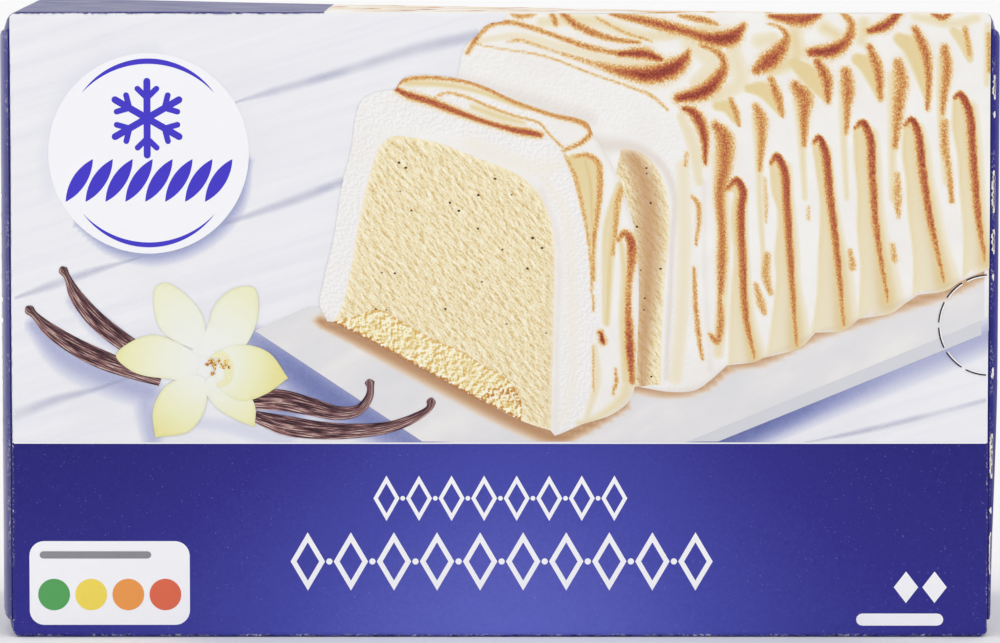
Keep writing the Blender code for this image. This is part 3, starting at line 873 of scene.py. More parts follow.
# The loaf behind: a second cut face, ridged panels down its side and swirls on its top
loaf = {
    "outline": [
        [(-10.8, 136.4), (-9.8, 140.1), (-9.4, 142.6), (-8.3, 145.4), (-5.8, 147.6), (-3.8, 149.9),
         (-1.6, 150.9), (0.6, 151.2), (1.9, 153.3)],
        [(1.9, 153.3), (119.9, 153.3)],
        [(119.9, 153.3), (119.9, 90.9)],
        [(119.9, 90.9), (112.4, 87.6), (108.9, 85.4), (102.1, 84.4)],
        [(102.1, 84.4), (98.9, 82.2), (95.8, 80), (87.8, 78.5)],
        [(87.8, 78.5), (83.9, 75.7), (77.1, 75.1)],
        [(77.1, 75.1), (73.3, 71.5), (64.4, 68.9)],
        [(64.4, 68.9), (62.1, 67.9), (55.5, 67.1)],
        [(55.5, 67.1), (51.4, 63.4), (47.7, 61), (41.4, 60.6), (32.7, 62.1)],
        [(32.7, 62.1), (22, 70), (18, 115), (0, 125), (-10.8, 136.4)],
    ],
    "cut": [(29.5, 120.1), (33.3, 119.6), (36.4, 117.6), (38.9, 114.1), (40.5, 109.8), (41.2, 104.8),
            (41.3, 99.1), (40.5, 91.6), (39.9, 82.9), (39.4, 72.2), (39.3, 62.4)],
    "cutFoot": [(39.3, 62.4), (30, 62.9), (27, 90), (28, 112), (29.5, 120.1)],
    "cutShade": [(0.95, [(31, 121, 4), (35, 112, 5.5), (36.4, 100, 5.5), (36, 86, 4.5), (35, 70, 3),
                         (35, 62, 2)])],
    "specks": 16,
    "speckStart": 30,  # none further left, where the slice hides the cut face
    "rough": [
        (0.5, [(-6, 140, 7), (12, 135, 8), (30, 129, 8), (40, 124, 6), (45, 112, 4), (45, 90, 4),
               (43, 63, 4)], 0.5),
    ],
    # each ridged panel: its scorched line from the hook down, and the hollow's left border
    "panels": [
        ([(55.2, 110.4), (57.7, 112.9), (59.6, 110.1), (59.2, 104.8), (59.6, 94.1), (60.5, 78.5),
          (62.4, 69.1)], [(57.1, 109.1), (56.4, 103.5), (57.1, 94.1), (56.4, 84.8), (55.8, 67.2)]),
        ([(65.8, 116.6), (67.4, 118.8), (69.6, 115.4), (70.5, 105.4), (71.4, 91), (72.7, 72.2)],
         [(65.8, 114.1), (66.4, 109.1), (67.7, 104.8), (67.1, 94.1), (67.4, 87.9), (65.2, 69.1)]),
        ([(76.1, 121.6), (77.7, 123.2), (79.6, 119.8), (80.8, 109.8), (82.7, 94.1), (84.2, 77.2)],
         [(76.4, 119.1), (77.1, 114.1), (78, 106.6), (77.7, 94.1), (77.4, 84.8), (76.1, 74.7)]),
        ([(86.4, 125.4), (88.3, 127), (90.5, 123.5), (91.1, 116), (92.1, 101.6), (94.9, 82.9)],
         [(86.1, 123.5), (86.4, 116.6), (87.1, 109.8), (87.1, 100.4), (88, 91), (87.4, 77.9)]),
        ([(98.6, 126), (100.2, 127.6), (102.1, 124.8), (103.6, 114.1), (105.5, 102.3), (108.6, 87.9)],
         [(98.3, 124.8), (98, 119.1), (98.9, 112.9), (99.6, 103.5), (100.8, 94.1), (100.8, 84.1)]),
        ([(110.5, 132.6), (112.1, 133.8), (114.6, 129.8), (115.8, 117.9), (117.1, 103.5), (118.6, 92.9)],
         [(110.2, 131), (110.2, 125.4), (111.4, 119.1), (112.1, 109.8), (113, 100.4), (113, 88.5)]),
    ],
    "lineStrength": 0.84,
    "lineLean": 0.35,  # how wide a line's left side is beside its right
    "lineWidths": [1.1, 2.1, 2.5, 2.6, 2.5, 2.1, 1.2],
    "lineHeats": [0.8, 1, 1, 0.95, 0.85, 0.78, 0.6],
    "toast": [
        # edge of the frame round the second cut face
        (0.9, [(44.6, 130, 0.8), (47, 129.1, 1.7), (49, 126, 1.9), (49.9, 122.3, 1.4), (50, 116.6, 0.6)]),
        (0.5, [(46.9, 108.5, 0.7), (48.3, 106.6, 1.1), (48.5, 102.3, 0.9), (47.8, 96.6, 0.6)]),
        (0.55, [(47.4, 91, 0.6), (47.8, 81.6, 0.9), (48.6, 74.1, 0.9), (49.5, 68.5, 0.5)]),
        (0.4, [(45.5, 119.1, 0.9), (45.2, 116, 0.9)]),
        (0.68, [(52.5, 126, 1.6), (54.6, 122.9, 3.2), (54.7, 116, 2.8), (53.6, 109.1, 2),
                (54.2, 100.4, 1.6), (54.2, 92.9, 1.8), (53.9, 84.8, 1.1)]),
        (0.6, [(53.6, 84.8, 0.7), (53.9, 77.2, 1.5), (53, 72.9, 1.3), (51.4, 74.7, 0.8)]),
        # between the panels
        (0.57, [(62.4, 130.4, 1.5), (63.6, 127.3, 2.4), (63.8, 122.9, 1.8), (63.3, 115, 0.8)]),
        (0.34, [(64.6, 112.9, 0.8), (64.9, 106.6, 1.1), (64.9, 102.3, 0.7)]),
        (0.47, [(65.2, 94.1, 1.5), (64.9, 89.1, 1.8), (66.1, 84.8, 1.1)]),
        (0.47, [(62.4, 87, 1), (63.8, 82.2, 1.8), (64.6, 80, 1.1)]),
        (0.65, [(71.9, 135.5, 2), (74.1, 132.6, 3.2), (74.1, 129.1, 2.2), (74.1, 121, 0.8)]),
        (0.62, [(84.2, 138.8, 2.1), (84.7, 134.8, 2.5), (84.6, 130.4, 1.5), (84.3, 124, 0.7)]),
        (0.58, [(97, 141, 2.1), (97.7, 136.6, 2.7), (97.1, 130.4, 2.2), (96.3, 120.6, 1.1)]),
        (0.43, [(96.9, 114.1, 1.1), (96.9, 109.1, 2), (97.2, 103.5, 1)]),
        (0.43, [(95.8, 96.6, 1.1), (96.4, 93, 1.4)]),
        (0.47, [(85.5, 95.2, 1), (86.1, 91.2, 1.5)]),
        (0.34, [(75.3, 106, 0.8), (75.2, 103, 1)]),
        (0.62, [(108.2, 144.6, 1.7), (108.8, 139.8, 2), (108.2, 133.5, 1.4), (107.8, 128.8, 0.8)]),
        (0.52, [(108.2, 126.6, 1.7), (108.4, 120.4, 1.7), (109.3, 116, 1.3), (110.2, 107.3, 1.1)]),
        (0.47, [(119.1, 147.9, 1.3), (119.2, 139, 1.1)]),
        (0.52, [(56.2, 132.2, 1), (57.4, 129.1, 1.5), (58.2, 125.8, 0.7)]),
        (0.6, [(66, 137, 1.3), (67.6, 132.9, 1.8), (68.8, 128.2, 0.8)]),
        (0.73, [(77.2, 141.4, 1.4), (79.4, 137.3, 2.2), (79.9, 131.6, 1)]),
        (0.67, [(89.9, 145, 1.3), (91.9, 139.8, 2), (92.7, 132.4, 1)]),
        (0.69, [(101, 149.3, 1.3), (103.4, 144.1, 2), (104.3, 138.5, 1.4), (104.1, 129.8, 0.7)]),
        (0.47, [(113.2, 149.4, 1.3), (114.4, 143, 1.1)]),
        # swirls, front to back
        (0.58, [(-8, 143.4, 0.7), (-5.3, 147.7, 1), (-2.6, 150.2, 0.9), (1.9, 151, 0.8),
                (7.4, 149.7, 0.9), (13.4, 147.7, 0.9), (19.4, 145.6, 1.1), (25.4, 144, 1.1),
                (31, 143.1, 1)]),
        (0.95, [(29, 143.3, 0.9), (35, 143.3, 1.8), (39, 142, 1)]),
        (0.38, [(-8, 146, 0.5), (-0.1, 144.6, 0.5), (11.2, 142.6, 0.6), (22.4, 138.4, 0.6),
                (31, 135.4, 0.6), (37, 133, 0.9), (41, 129.5, 0.6)]),
        (0.4, [(1.9, 146.2, 0.6), (4.4, 146.6, 0.8), (13.4, 143.9, 0.7), (23.4, 141.1, 0.6)]),
        (1.0, [(15, 143.2, 0.9, 0.35), (24, 140.6, 1.6, 0.45), (30, 138.9, 2.2, 0.75),
               (36.4, 138.2, 2.8, 1), (41.4, 139.4, 3, 1), (44.6, 141.6, 2.3, 0.85), (46, 144, 1, 0.6)]),
        (1.0, [(43.4, 132.4, 1.4, 1), (49.5, 134, 2.5, 1), (53.2, 137.4, 2.3, 0.85),
               (54.6, 141.1, 1.6, 0.62), (52.9, 143.7, 1.3, 0.6), (48.7, 145.4, 0.8, 0.5)]),
        (0.6, [(12.6, 153.2, 1.2), (13.6, 150.6, 1)]),
        (0.66, [(15.2, 153.2, 1.2), (17.4, 151.1, 1.4), (21.4, 148.9, 1.4), (27, 147, 1),
                (34, 146, 0.6)]),
        (1.0, [(27, 153, 0.9, 0.6), (34.4, 151.5, 1.6, 0.7), (40.4, 150, 1.9, 0.8),
               (46, 148.5, 1.8, 0.75), (51.5, 147, 2.2, 0.95), (56.5, 147.4, 2.7, 1),
               (59.4, 150.2, 1.1, 0.7)]),
        (0.6, [(43.4, 152.6, 0.6), (49, 151.6, 1.3), (53, 150.5, 0.6)]),
        (0.45, [(23.4, 152.1, 0.6), (30, 148.6, 0.7), (37, 146.4, 0.5)]),
        (1.0, [(62.5, 139.4, 1.8, 0.75), (65.4, 141.4, 3.2, 0.85), (68.4, 144.6, 2.6, 0.75),
               (69.8, 147.6, 1.3, 0.6), (68.4, 149.6, 0.9, 0.5), (65.2, 150.6, 0.6, 0.4)]),
        (0.85, [(65.6, 152.6, 0.8), (69.5, 152, 1.8), (74, 151.8, 2.6), (77.4, 153, 1.4)]),
        (1.0, [(75.6, 143.6, 1.5, 0.95), (80.5, 144, 2.2, 1), (84.4, 146.6, 2, 0.75),
               (85.5, 150.6, 1.5, 0.6), (83.2, 153.4, 1, 0.55)]),
        (0.92, [(89.8, 148.8, 1), (93.8, 150.2, 1.7), (97, 153.2, 1.3)]),
        (0.8, [(105.6, 153.2, 1.2), (107.6, 152, 1), (109.4, 153.2, 0.8)]),
        (0.5, [(3, 153.1, 1), (5, 152.4, 1.2), (8.4, 153, 0.8)]),
    ],
    "creamTones": [
        (0.5, [(44, 128, 1.6), (47, 121, 2.2), (48.6, 112, 1.6)], 0.8),
        (0.38, [(44.6, 116, 3), (45, 100, 3.2), (44.4, 80, 3), (43, 64, 3)]),
        (0.6, [(53.4, 118, 3), (54.4, 104, 2.8), (54.4, 88, 2.4), (53.4, 70, 2.2)]),
        (0.8, [(52.8, 130.6, 1.5), (55.4, 130.4, 2.2), (57.4, 127.4, 1.5)], 0.5),
        (0.8, [(60.4, 134.9, 1.4), (64.4, 134.4, 2.8), (68.4, 129.2, 1.4)], 0.5),
        (0.8, [(71.4, 141.2, 1.8), (75.4, 138, 3.2), (79.4, 132.6, 1.4)], 0.5),
        (0.8, [(87, 142, 2), (89.8, 140.2, 3.2), (92.6, 133, 1.4)], 0.5),
        (0.8, [(97.2, 147, 2), (100.8, 144.4, 3.6), (104.2, 133, 1.4)], 0.5),
        (0.7, [(110.4, 148.8, 1.4), (112.8, 146.4, 2.2), (114.4, 142, 1.2)], 0.5),
        (0.62, [(62.2, 128, 1.6), (63, 118, 1.7), (63.6, 104, 1.3), (64.6, 90, 1)]),
        (0.62, [(72.8, 132, 2.4), (73.4, 124, 1.8), (74.4, 108, 1.1)]),
        (0.6, [(83.6, 136, 2), (83.6, 126, 1.6), (84.6, 108, 1.2)]),
        (0.6, [(95.6, 138, 2.4), (95.6, 126, 1.9), (95.8, 108, 1.6)]),
        (0.6, [(107.4, 142, 2), (107.4, 130, 1.7), (108.8, 112, 1.6)]),
        (0.6, [(118.8, 150, 1.6), (118.6, 136, 1.4)]),
        # hollows of the swirls
        (0.4, [(-5, 146.4, 1.2), (4, 147.6, 1.7), (16, 144.6, 1.8), (30, 141.2, 1.7), (38, 141, 1.8)]),
        (0.4, [(46, 146, 3.2), (51.4, 140.8, 3.2), (47.4, 136.4, 2.2)], 0.8),
        (0.55, [(10, 151, 2), (22, 151.4, 2.4), (36, 147.6, 2.2), (52, 149.6, 2)]),
        (0.5, [(57, 142.6, 4), (58.5, 136.6, 3.6), (52.6, 132.4, 2.4)]),
        (0.5, [(63, 146.4, 3.2), (66.6, 147.2, 2.4)]),
        (0.7, [(71.6, 148, 3.4), (72, 142.4, 3.6), (66.2, 139.2, 2.6)]),
        (0.65, [(79, 149.6, 3), (82, 148, 2.4)]),
        (0.6, [(88.6, 150.8, 2.8), (88, 146.4, 2.4)]),
        (0.55, [(101, 152.4, 2), (110, 150.6, 2), (116, 152, 2)]),
    ],
    "shade": [
        (0.35, [(24, 121, 4), (32, 120.6, 2.4), (38.6, 117, 2), (42.2, 110, 1.4), (42, 96, 1.2),
                (40.6, 64, 1.2)]),
        (0.22, [(-10, 137, 3), (8, 131.6, 4), (22, 127.6, 3.5)]),
        (0.3, [(33, 61.6, 1.4), (42, 60.4, 1.8), (50, 61.6, 2.2), (56, 66.6, 1.6), (64, 68.4, 1.4),
               (77, 74.6, 1.4), (88, 78.2, 1.4), (102, 84, 1.4), (119, 90, 1.4)]),
        (0.16, [(49.8, 112, 1.2), (50, 90, 1.2), (51.5, 66, 1.6)]),
    ],
}


def panelStrokes():
    # the hollow of each panel fills from its left border to its scorched line
    toast, cream, shade = [], [], []
    shares = np.linspace(0, 1, 7)
    for line, border in loaf["panels"]:
        along = np.linspace(0, 1, len(line))
        widths, heats = [np.interp(along, shares, loaf[key]) for key in ("lineWidths", "lineHeats")]
        scorched = [(*spot, half, heat) for spot, half, heat in zip(line, widths, heats)]
        toast.append((loaf["lineStrength"], scorched, 1.0, loaf["lineLean"]))
        inner, outer = smoothPath(line[2:], 2), smoothPath(border, 2)
        pairs = [(inner[round(t * (len(inner) - 1))], outer[round(t * (len(outer) - 1))]) for t in shares]
        cream.append((0.85, [(*(0.95 * a + 0.05 * b), np.hypot(*(a - b)) * 0.7) for a, b in pairs]))
        shade.append((0.2, [(*(0.85 * a + 0.15 * b), np.hypot(*(a - b)) / 2) for a, b in pairs]))
    return toast, cream, shade


def makeLoaf():
    spots, faces = fillShape(cornered(*loaf["outline"]), 0.55)
    toast, cream, shade = panelStrokes()
    swirls, lines = painted(spots, loaf["toast"], 0.32, 1.1, 1.35), painted(spots, toast, 0.36, 0.85)
    masks = {"toast": np.maximum(swirls, lines), "cream": painted(spots, loaf["creamTones"] + cream)}
    for line, border in loaf["panels"]:
        masks["cream"] = np.maximum(masks["cream"], hollow(spots, border, line, 0.55))
    masks["shade"] = painted(spots, loaf["shade"] + shade)
    masks["rough"] = painted(spots, loaf["rough"])
    printShape("loafMeringue", "front", spots, faces, meringueMaterial, **masks)
    face = cornered(loaf["cut"], loaf["cutFoot"])
    spots, faces = fillShape(face, 1.0)
    pale = 1 - ease(lineDistance(spots, smoothPath(loaf["cut"]))[0] / 1.2)
    masks = {"shade": painted(spots, loaf["cutShade"]), "cream": 0.5 * pale}
    printShape("loafIceCream", "front", spots, faces, iceCreamMaterial, **masks)
    seen = face[face[:, 0] > loaf["speckStart"]]
    printOutlines("loafSpecks", "front", speckOutlines(loaf["specks"], seen, 9), speckMaterial)


makeLoaf()
print("loaf printed")

# The flower and the pods
flower = {
    "center": (-71.2, 67.6),
    "heart": (5.5, 5),  # half width and half height of the middle that the petals grow from
    "level": 2,  # the petal that points straight left
    # each petal: outline from its root round the tip, warmth of its yellow, and its layer
    "petals": [
        ([(-76, 71.6), (-82.6, 75.5), (-84.6, 82), (-84, 86.4), (-81.6, 87.4), (-76.4, 84.2), (-72.6, 79),
          (-72.4, 71.6)], 0.30, 5),
        ([(-74, 70), (-71.4, 77), (-69.6, 82), (-65, 86), (-60.2, 86.2), (-59, 83), (-60, 76),
          (-64, 70.4)], 0.38, 6),
        ([(-75, 63.8), (-82, 63.9), (-89.4, 65.4), (-93.9, 69.5), (-90.4, 72.8), (-84.8, 74.6),
          (-79.4, 73), (-74, 69)], 0.55, 7),
        ([(-76, 65), (-82, 61.8), (-84.9, 56), (-84.4, 49.4)], 0.75, 8),
        ([(-73, 62), (-69.6, 57), (-65, 54), (-60, 51.9)], 0.55, 7.5),
        ([(-69.6, 66), (-68.4, 70.6), (-62.4, 72.2), (-56.4, 70.2), (-51.8, 64)], 0.85, 9),
    ],
    # the far side of the three pointed petals, tip to root
    "farSides": {
        3: [(-84.4, 49.4), (-76, 51), (-72, 57), (-72.4, 64)],
        4: [(-60, 51.9), (-60, 57.4), (-64, 63), (-70, 65)],
        5: [(-51.8, 64), (-57.4, 60), (-63.4, 58.4), (-68.6, 61.6)],
    },
    "lip": [(-70.4, 69.2, 0.4), (-68.2, 69.9, 0.9), (-66.4, 67.2, 1.2), (-66.6, 63.6, 1.0),
            (-69.2, 62, 0.5)],
    "stamens": 16,
}
pods = {
    # places along each pod, with its half width there
    "lines": [
        [(-107.2, 91.3, 0.3), (-106.8, 90.6, 1.1), (-105.8, 89, 0.8), (-103.8, 84.6, 1.6),
         (-99.4, 79, 2.1), (-93, 73.6, 2.2), (-87, 69.8, 1.9), (-80, 66, 1.2)],
        [(-115.8, 81.5, 0.3), (-115.2, 80.9, 1.2), (-113.9, 79.6, 0.9), (-110.5, 76.2, 1.6),
         (-104.6, 72.2, 2.1), (-97.4, 68.6, 2.3), (-90, 65.8, 2.0), (-83, 63.4, 1.4)],
        [(-63, 58.6, 2.2), (-54, 58.6, 2.6), (-46.4, 57, 2.2), (-39.6, 55.4, 1.7), (-34.6, 56.2, 1.3),
         (-32.0, 59.4, 1.0), (-31.7, 62, 0.9), (-31.9, 63.0, 1.2), (-32.0, 63.8, 0.3)],
        [(-60, 54.6, 1.4), (-52.8, 52.4, 2.4), (-44.4, 51.2, 2.2), (-35.8, 51, 1.8), (-27, 52.0, 1.4),
         (-20.6, 54.4, 1.1), (-17.2, 56.8, 0.8), (-16.8, 58.4, 1.1), (-16.6, 59.2, 0.3)],
    ],
}


def petalInk(tree):
    # white heart, yellow toward the rim, with fine lengthwise veins
    share = mask(tree, "share")
    veins = {"X": times(tree, mask(tree, "angle"), 9), "Y": times(tree, share, 1.5)}
    fine = grainNoise(tree, node(tree, "ShaderNodeCombineXYZ", veins).outputs[0], 2.4, 2)
    tone = plus(tree, times(tree, share, mask(tree, "warmth")), swing(tree, fine, 0.09))
    color = inkRamp(tree, tone, {0.1: "eeefec", 0.4: "edeedd", 0.7: "ebebc0", 1.0: "e8e09c"})
    return mixInk(tree, times(tree, mask(tree, "rim"), 0.22), color, ink("c9c46a"))


def stamenInk(tree):
    fine = grainNoise(tree, placed(tree), 2.2, 3, 0.7)
    return inkRamp(tree, fine, {0.36: "8a4526", 0.46: "cb7f3e", 0.54: "eed069", 0.62: "f6efc4"})


def podInk(tree):
    # dark, with lengthwise wrinkles that catch a little light
    across = mask(tree, "across")
    where = {"X": times(tree, across, 4.8), "Y": times(tree, mask(tree, "along"), 0.11), "Z": 3.0}
    wrinkle = grainNoise(tree, node(tree, "ShaderNodeCombineXYZ", where).outputs[0], 1.6, 4, 0.62)
    lit = plus(tree, wrinkle, times(tree, across, -0.05))
    return inkRamp(tree, lit, {0.37: "2a1a22", 0.46: "4e333a", 0.53: "7b5457", 0.6: "ab8781",
                               0.66: "d6bdb3"})


def makeFlower():
    center = np.array(flower["center"])
    spots, faces = fillShape(ellipse(center, flower["heart"]), 1.5)
    nil = np.zeros(len(spots))
    shapes = [(spots, faces, {"share": nil, "warmth": nil, "rim": nil, "angle": nil, "layer": nil + 4.5})]
    for index, (points, warmth, layer) in enumerate(flower["petals"]):
        far = flower["farSides"].get(index)
        outline = cornered(points, far + points[:1]) if far else smoothPath(points, closed=True)
        spots, faces = fillShape(outline, 0.9)
        away = np.hypot(*(spots - center).T)
        rim = 1 - ease(lineDistance(spots, np.vstack([outline, outline[:1]]))[0] / 0.5)
        masks = {"share": np.clip(away / away.max(), 0, 1), "warmth": np.full(len(spots), warmth + 0.3)}
        masks["rim"] = rim * ease((away - 7) / 4)  # none near the flower's heart
        masks["angle"] = np.arctan2(*(spots - center).T[::-1])
        if index == flower["level"]:
            masks["angle"] *= np.sign(spots[:, 1] - center[1])
        masks["layer"] = np.full(len(spots), layer)
        shapes.append((spots, faces, masks))
    spots, faces, masks = joined(shapes)
    above = masks.pop("layer")
    petalMaterial = newInk("petalInk", petalInk, 0.01, 0.42)
    printShape("flowerPetals", "front", spots, faces, petalMaterial, above=above, **masks)
    printShapes("flowerLip", "front", [ribbon(flower["lip"], 4, 0.5)],
                flatInk("flowerLipInk", "ece9c0", 0.1))
    dice = random.Random(12)
    dots = []
    for _ in range(flower["stamens"]):
        spot = (center[0] + 1.6 + dice.gauss(0, 1.4), center[1] - 0.6 + dice.gauss(0, 1.5))
        dots.append(fillShape(ellipse(spot, (dice.uniform(0.3, 0.7), dice.uniform(0.3, 0.7)), 9), 1))
    spots, faces, _ = joined(dots)
    above = 0.02 * np.arange(len(spots))
    printShape("flowerStamens", "front", spots, faces, newInk("stamenInk", stamenInk, 0.1), above=above)


def makePods():
    shapes = [ribbon(line, 8, 0.6) for line in pods["lines"]]
    printShapes("vanillaPods", "front", shapes, newInk("podInk", podInk, 0.1, 0.45), steps=0.5)


makeFlower()
makePods()
print("flower and pods printed")

# The white seal with a plain snow star, and a frieze of leaves below it
seal = {
    "center": (-85.7, 119.0),
    "radius": 24.5,
    "topArc": ((-101.9, 133.6), (-69.6, 133.9), 8.4, 7.1),  # ends, outer rise and inner rise
    "footArc": ((-101.7, 104.2), (-69.6, 104.3), -8.2, -7.0),
    "star": (-86.0, 127.6, 9.0, 0.85),  # middle, reach and half width of an arm
    "leaves": (-102.6, -68.6, 112.4, 8),  # first and last middle, height, number
    "leaf": (6.2, 1.7, 1.0),  # half length, half width and slant
}
blueInk = flatInk("sealBlueInk", "453ac6", 0.06)


def arcThrough(start, end, riseUp, count=40):
    # from start to end, bulging by the given rise
    start, end = np.array(start), np.array(end)
    half = np.hypot(*(end - start)) / 2
    radius = (half**2 + riseUp**2) / (2 * abs(riseUp))
    lean = math.asin(min(1, half / radius))
    angles = np.linspace(-lean, lean, count)
    sign = 1 if riseUp > 0 else -1
    bulge = np.cos(angles) * radius - radius * math.cos(lean)
    return (start + end) / 2 + np.stack([np.sin(angles) * radius, sign * bulge], -1)


def crescent(start, end, outer, inner):
    return np.vstack([arcThrough(start, end, outer), arcThrough(start, end, inner)[::-1][1:-1]])


def barShape(start, end, half):
    # a straight bar with round ends
    start, end = np.array(start, float), np.array(end, float)
    angle = math.atan2(*(end - start)[::-1])
    caps = [ellipse(end, (half, half), 7, angle - math.pi / 2, math.pi)]
    caps.append(ellipse(start, (half, half), 7, angle + math.pi / 2, math.pi))
    return np.vstack(caps)


def starShapes(x, z, reach, half):
    # six arms, each with a pair of short branches
    angles = [math.pi / 6 + arm * math.pi / 3 for arm in range(6)]
    ways = [np.array([math.cos(angle), math.sin(angle)]) for angle in angles]
    made = [barShape((x, z) - way * reach, (x, z) + way * reach, half) for way in ways[:3]]
    for angle, way in zip(angles, ways):
        root = (x, z) + 0.55 * reach * way
        for lean in (-0.8, 0.8):
            branch = np.array([math.cos(angle + lean), math.sin(angle + lean)])
            made.append(barShape(root, root + branch * reach * 0.36, 0.7))
    return made


def leafShape(center, reach, fat, angle):
    turn = np.array([[math.cos(angle), math.sin(angle)], [-math.sin(angle), math.cos(angle)]])
    return crescent((-reach, 0), (reach, 0), fat, -fat) @ turn + np.array(center)


def makeSeal():
    disc = ellipse(seal["center"], (seal["radius"],) * 2, 96)
    printOutlines("sealDisc", "front", [disc], whiteMaterial)
    printOutlines("sealArcs", "front", [crescent(*seal["topArc"]), crescent(*seal["footArc"])], blueInk)
    shapes = [fillShape(outline, 3) for outline in starShapes(*seal["star"])]
    printShapes("sealStar", "front", shapes, blueInk, steps=0.05)
    first, last, z, count = seal["leaves"]
    leaves = [leafShape((x, z), *seal["leaf"]) for x in np.linspace(first, last, count)]
    printOutlines("sealLeaves", "front", leaves, blueInk)


makeSeal()

# Plain ornaments on the blue band: two friezes, a label with coloured discs, portion marks
bandMarks = {
    "friezes": [  # left and right end, middle height, half height, number of lozenges, stroke
        (-31.8, 32.0, 34.4, 5.6, 8, 0.95),
        (-52.4, 53.2, 18.8, 7.2, 10, 1.25),
    ],
    "lozengeShare": 0.40,  # half width of a lozenge as a share of its pitch
    "label": ((-115.4, 3.1), (-76.1, 23.8), 3.6),
    "labelRule": (-112.0, -86.4, 20.4, 0.9),
    "discs": ["57a35d", "f0d85c", "eb9a50", "dd6a4e"],
    "discRow": (-109.4, -82.1, 10.6, 3.9),
    "portion": (99.6, 106.6, 12.4, 3.0, 3.9),  # two lozenges over a bar
    "portionBar": ((88.9, 4.4), (107.3, 4.4), 1.5),
}


def ringShape(outer, inner):
    # the strip between two outlines of the same number of points
    count = len(outer)
    faces = [(i, (i + 1) % count, count + (i + 1) % count, count + i) for i in range(count)]
    return np.vstack([outer, inner]), faces


def lozenge(x, z, halfWide, halfHigh):
    return np.array([(x + halfWide, z), (x, z + halfHigh), (x - halfWide, z), (x, z - halfHigh)])


def makeBandMarks():
    shapes = []
    for left, right, z, halfHigh, count, stroke in bandMarks["friezes"]:
        pitch = (right - left) / count
        halfWide = pitch * bandMarks["lozengeShare"]
        shrink = 1 - stroke * math.hypot(1 / halfWide, 1 / halfHigh)
        for index in range(count):
            x = left + pitch * (index + 0.5)
            inner = lozenge(x, z, halfWide * shrink, halfHigh * shrink)
            shapes.append(ringShape(lozenge(x, z, halfWide, halfHigh), inner))
            if index:
                shapes.append(fillShape(ellipse((x - pitch / 2, z), (stroke * 0.62,) * 2, 16), 2))
    left, right, z, halfWide, halfHigh = bandMarks["portion"]
    shapes += [fillShape(lozenge(x, z, halfWide, halfHigh), 2) for x in (left, right)]
    shapes.append(fillShape(barShape(*bandMarks["portionBar"]), 2))
    for panel in ("front", "back"):
        printShapes(panel + "Ornaments", panel, shapes, whiteMaterial)
    printOutlines("labelField", "front", [roundedBox(*bandMarks["label"])], whiteMaterial)
    left, right, z, half = bandMarks["labelRule"]
    grey = flatInk("labelGreyInk", "8d8d93", 0.1)
    printOutlines("labelRule", "front", [barShape((left, z), (right, z), half)], grey)
    left, right, z, radius = bandMarks["discRow"]
    places = np.linspace(left, right, len(bandMarks["discs"]))
    for number, (x, code) in enumerate(zip(places, bandMarks["discs"]), 1):
        disc = ellipse((x, z), (radius, radius), 40)
        printOutlines(f"labelDisc{number}", "front", [disc], flatInk(f"discInk{number}", code, 0.06))


makeBandMarks()
print("seal and band marks printed")

# The press-in tab's perforation, and the torn tear line down the right front crease
tab = {
    "center": (119.5, 77.0),
    "end": 119.4,  # the slits stop here, at the crease
    "radius": 12.3,
    "dashes": 6,
    "cut": 0.8,  # share of the outline that is cut through
    "half": 0.16,
    "edge": (0.36, 0.14),  # the slits' pale inner edge, the cut board's white edge with a painted highlight: how far in, and its half width
    "nicks": [  # middle height, length and half width of each torn place
        (20.5, 10.5, 0.7), (31.2, 2, 0.6), (44.5, 11, 0.8), (65, 2.8, 0.5), (88.5, 1.6, 0.4),
        (97.2, 6, 0.6), (109.5, 10.5, 0.6), (128.4, 1.8, 0.4), (135, 6, 0.55),
    ],
}


def tabSlits(radius, half):
    pitch = math.pi / tab["dashes"]
    reach = pitch * tab["cut"]
    made = []
    for index in range(tab["dashes"]):
        start = math.pi / 2 + pitch * (index + 0.5) - reach / 2
        arc = ellipse(tab["center"], (radius, radius), 13, start, reach)
        arc = np.column_stack([arc, np.full(13, half)])
        made.append(ribbon(arc[arc[:, 0] < tab["end"]], 1, 0.8))
    return made


def makeTab():
    # each slit's dark ink is a painted shadow in the cut; the pale strip just inside it is the cut edge
    # with a painted highlight
    inward, half = tab["edge"]
    slits, edges = tabSlits(tab["radius"], tab["half"]), tabSlits(tab["radius"] - inward, half)
    printShapes("tabSlits", "front", slits, flatInk("slitShadow", "2a2838", 0.1))
    printShapes("tabSlitEdges", "front", edges, flatInk("slitEdgeHighlight", "f4f3f1", 0.1))


makeTab()
print("tab printed")

# The other panels: the picture runs over onto the top; back, ends and base are plain and unmarked
rest = {
    "gridStep": 2.4,
    "topSplit": -42.8,  # where the top's blue-grey field ends and the picture's run-over begins
    "backLabel": ((30, 56), (112, 146), 5),
    "backRules": (36, 106, 138, 62, 12, 0.8),  # left, right, top, foot, number, half height
    "baseLabel": ((-60, 20), (60, 70), 5),
    "endMarks": (6, 39, 108, 47, 13, 0.55),
    "endLabel": ((-34, 24), (2, 62), 3),
    "cracks": [  # worn lines along the front's creases
        [(-119.9, 2, 0.25), (-119.9, 60, 0.35), (-119.9, 110, 0.25), (-119.9, 152, 0.3)],
        [(-119, 153.35, 0.2), (-96, 153.35, 0.35), (-80, 153.4, 0.15), (-66, 153.35, 0.35),
         (-44, 153.4, 0.15)],
        [(-118, 0.3, 0.25), (0, 0.3, 0.3), (118, 0.3, 0.25)],
    ],
}


def crackInk(tree):
    patches = rise(tree, grainNoise(tree, placed(tree), 0.7, 2), 0.45, 0.6)
    return mixInk(tree, patches, ink("262260"), ink("6f6ea2"))


def tornInk(tree):
    fibres = grainNoise(tree, placed(tree, (1, 1, 0.4)), 1.8, 4, 0.7)
    return inkRamp(tree, fibres, {0.35: "a79c92", 0.5: "e3ded7", 0.65: "f6f5f2"})


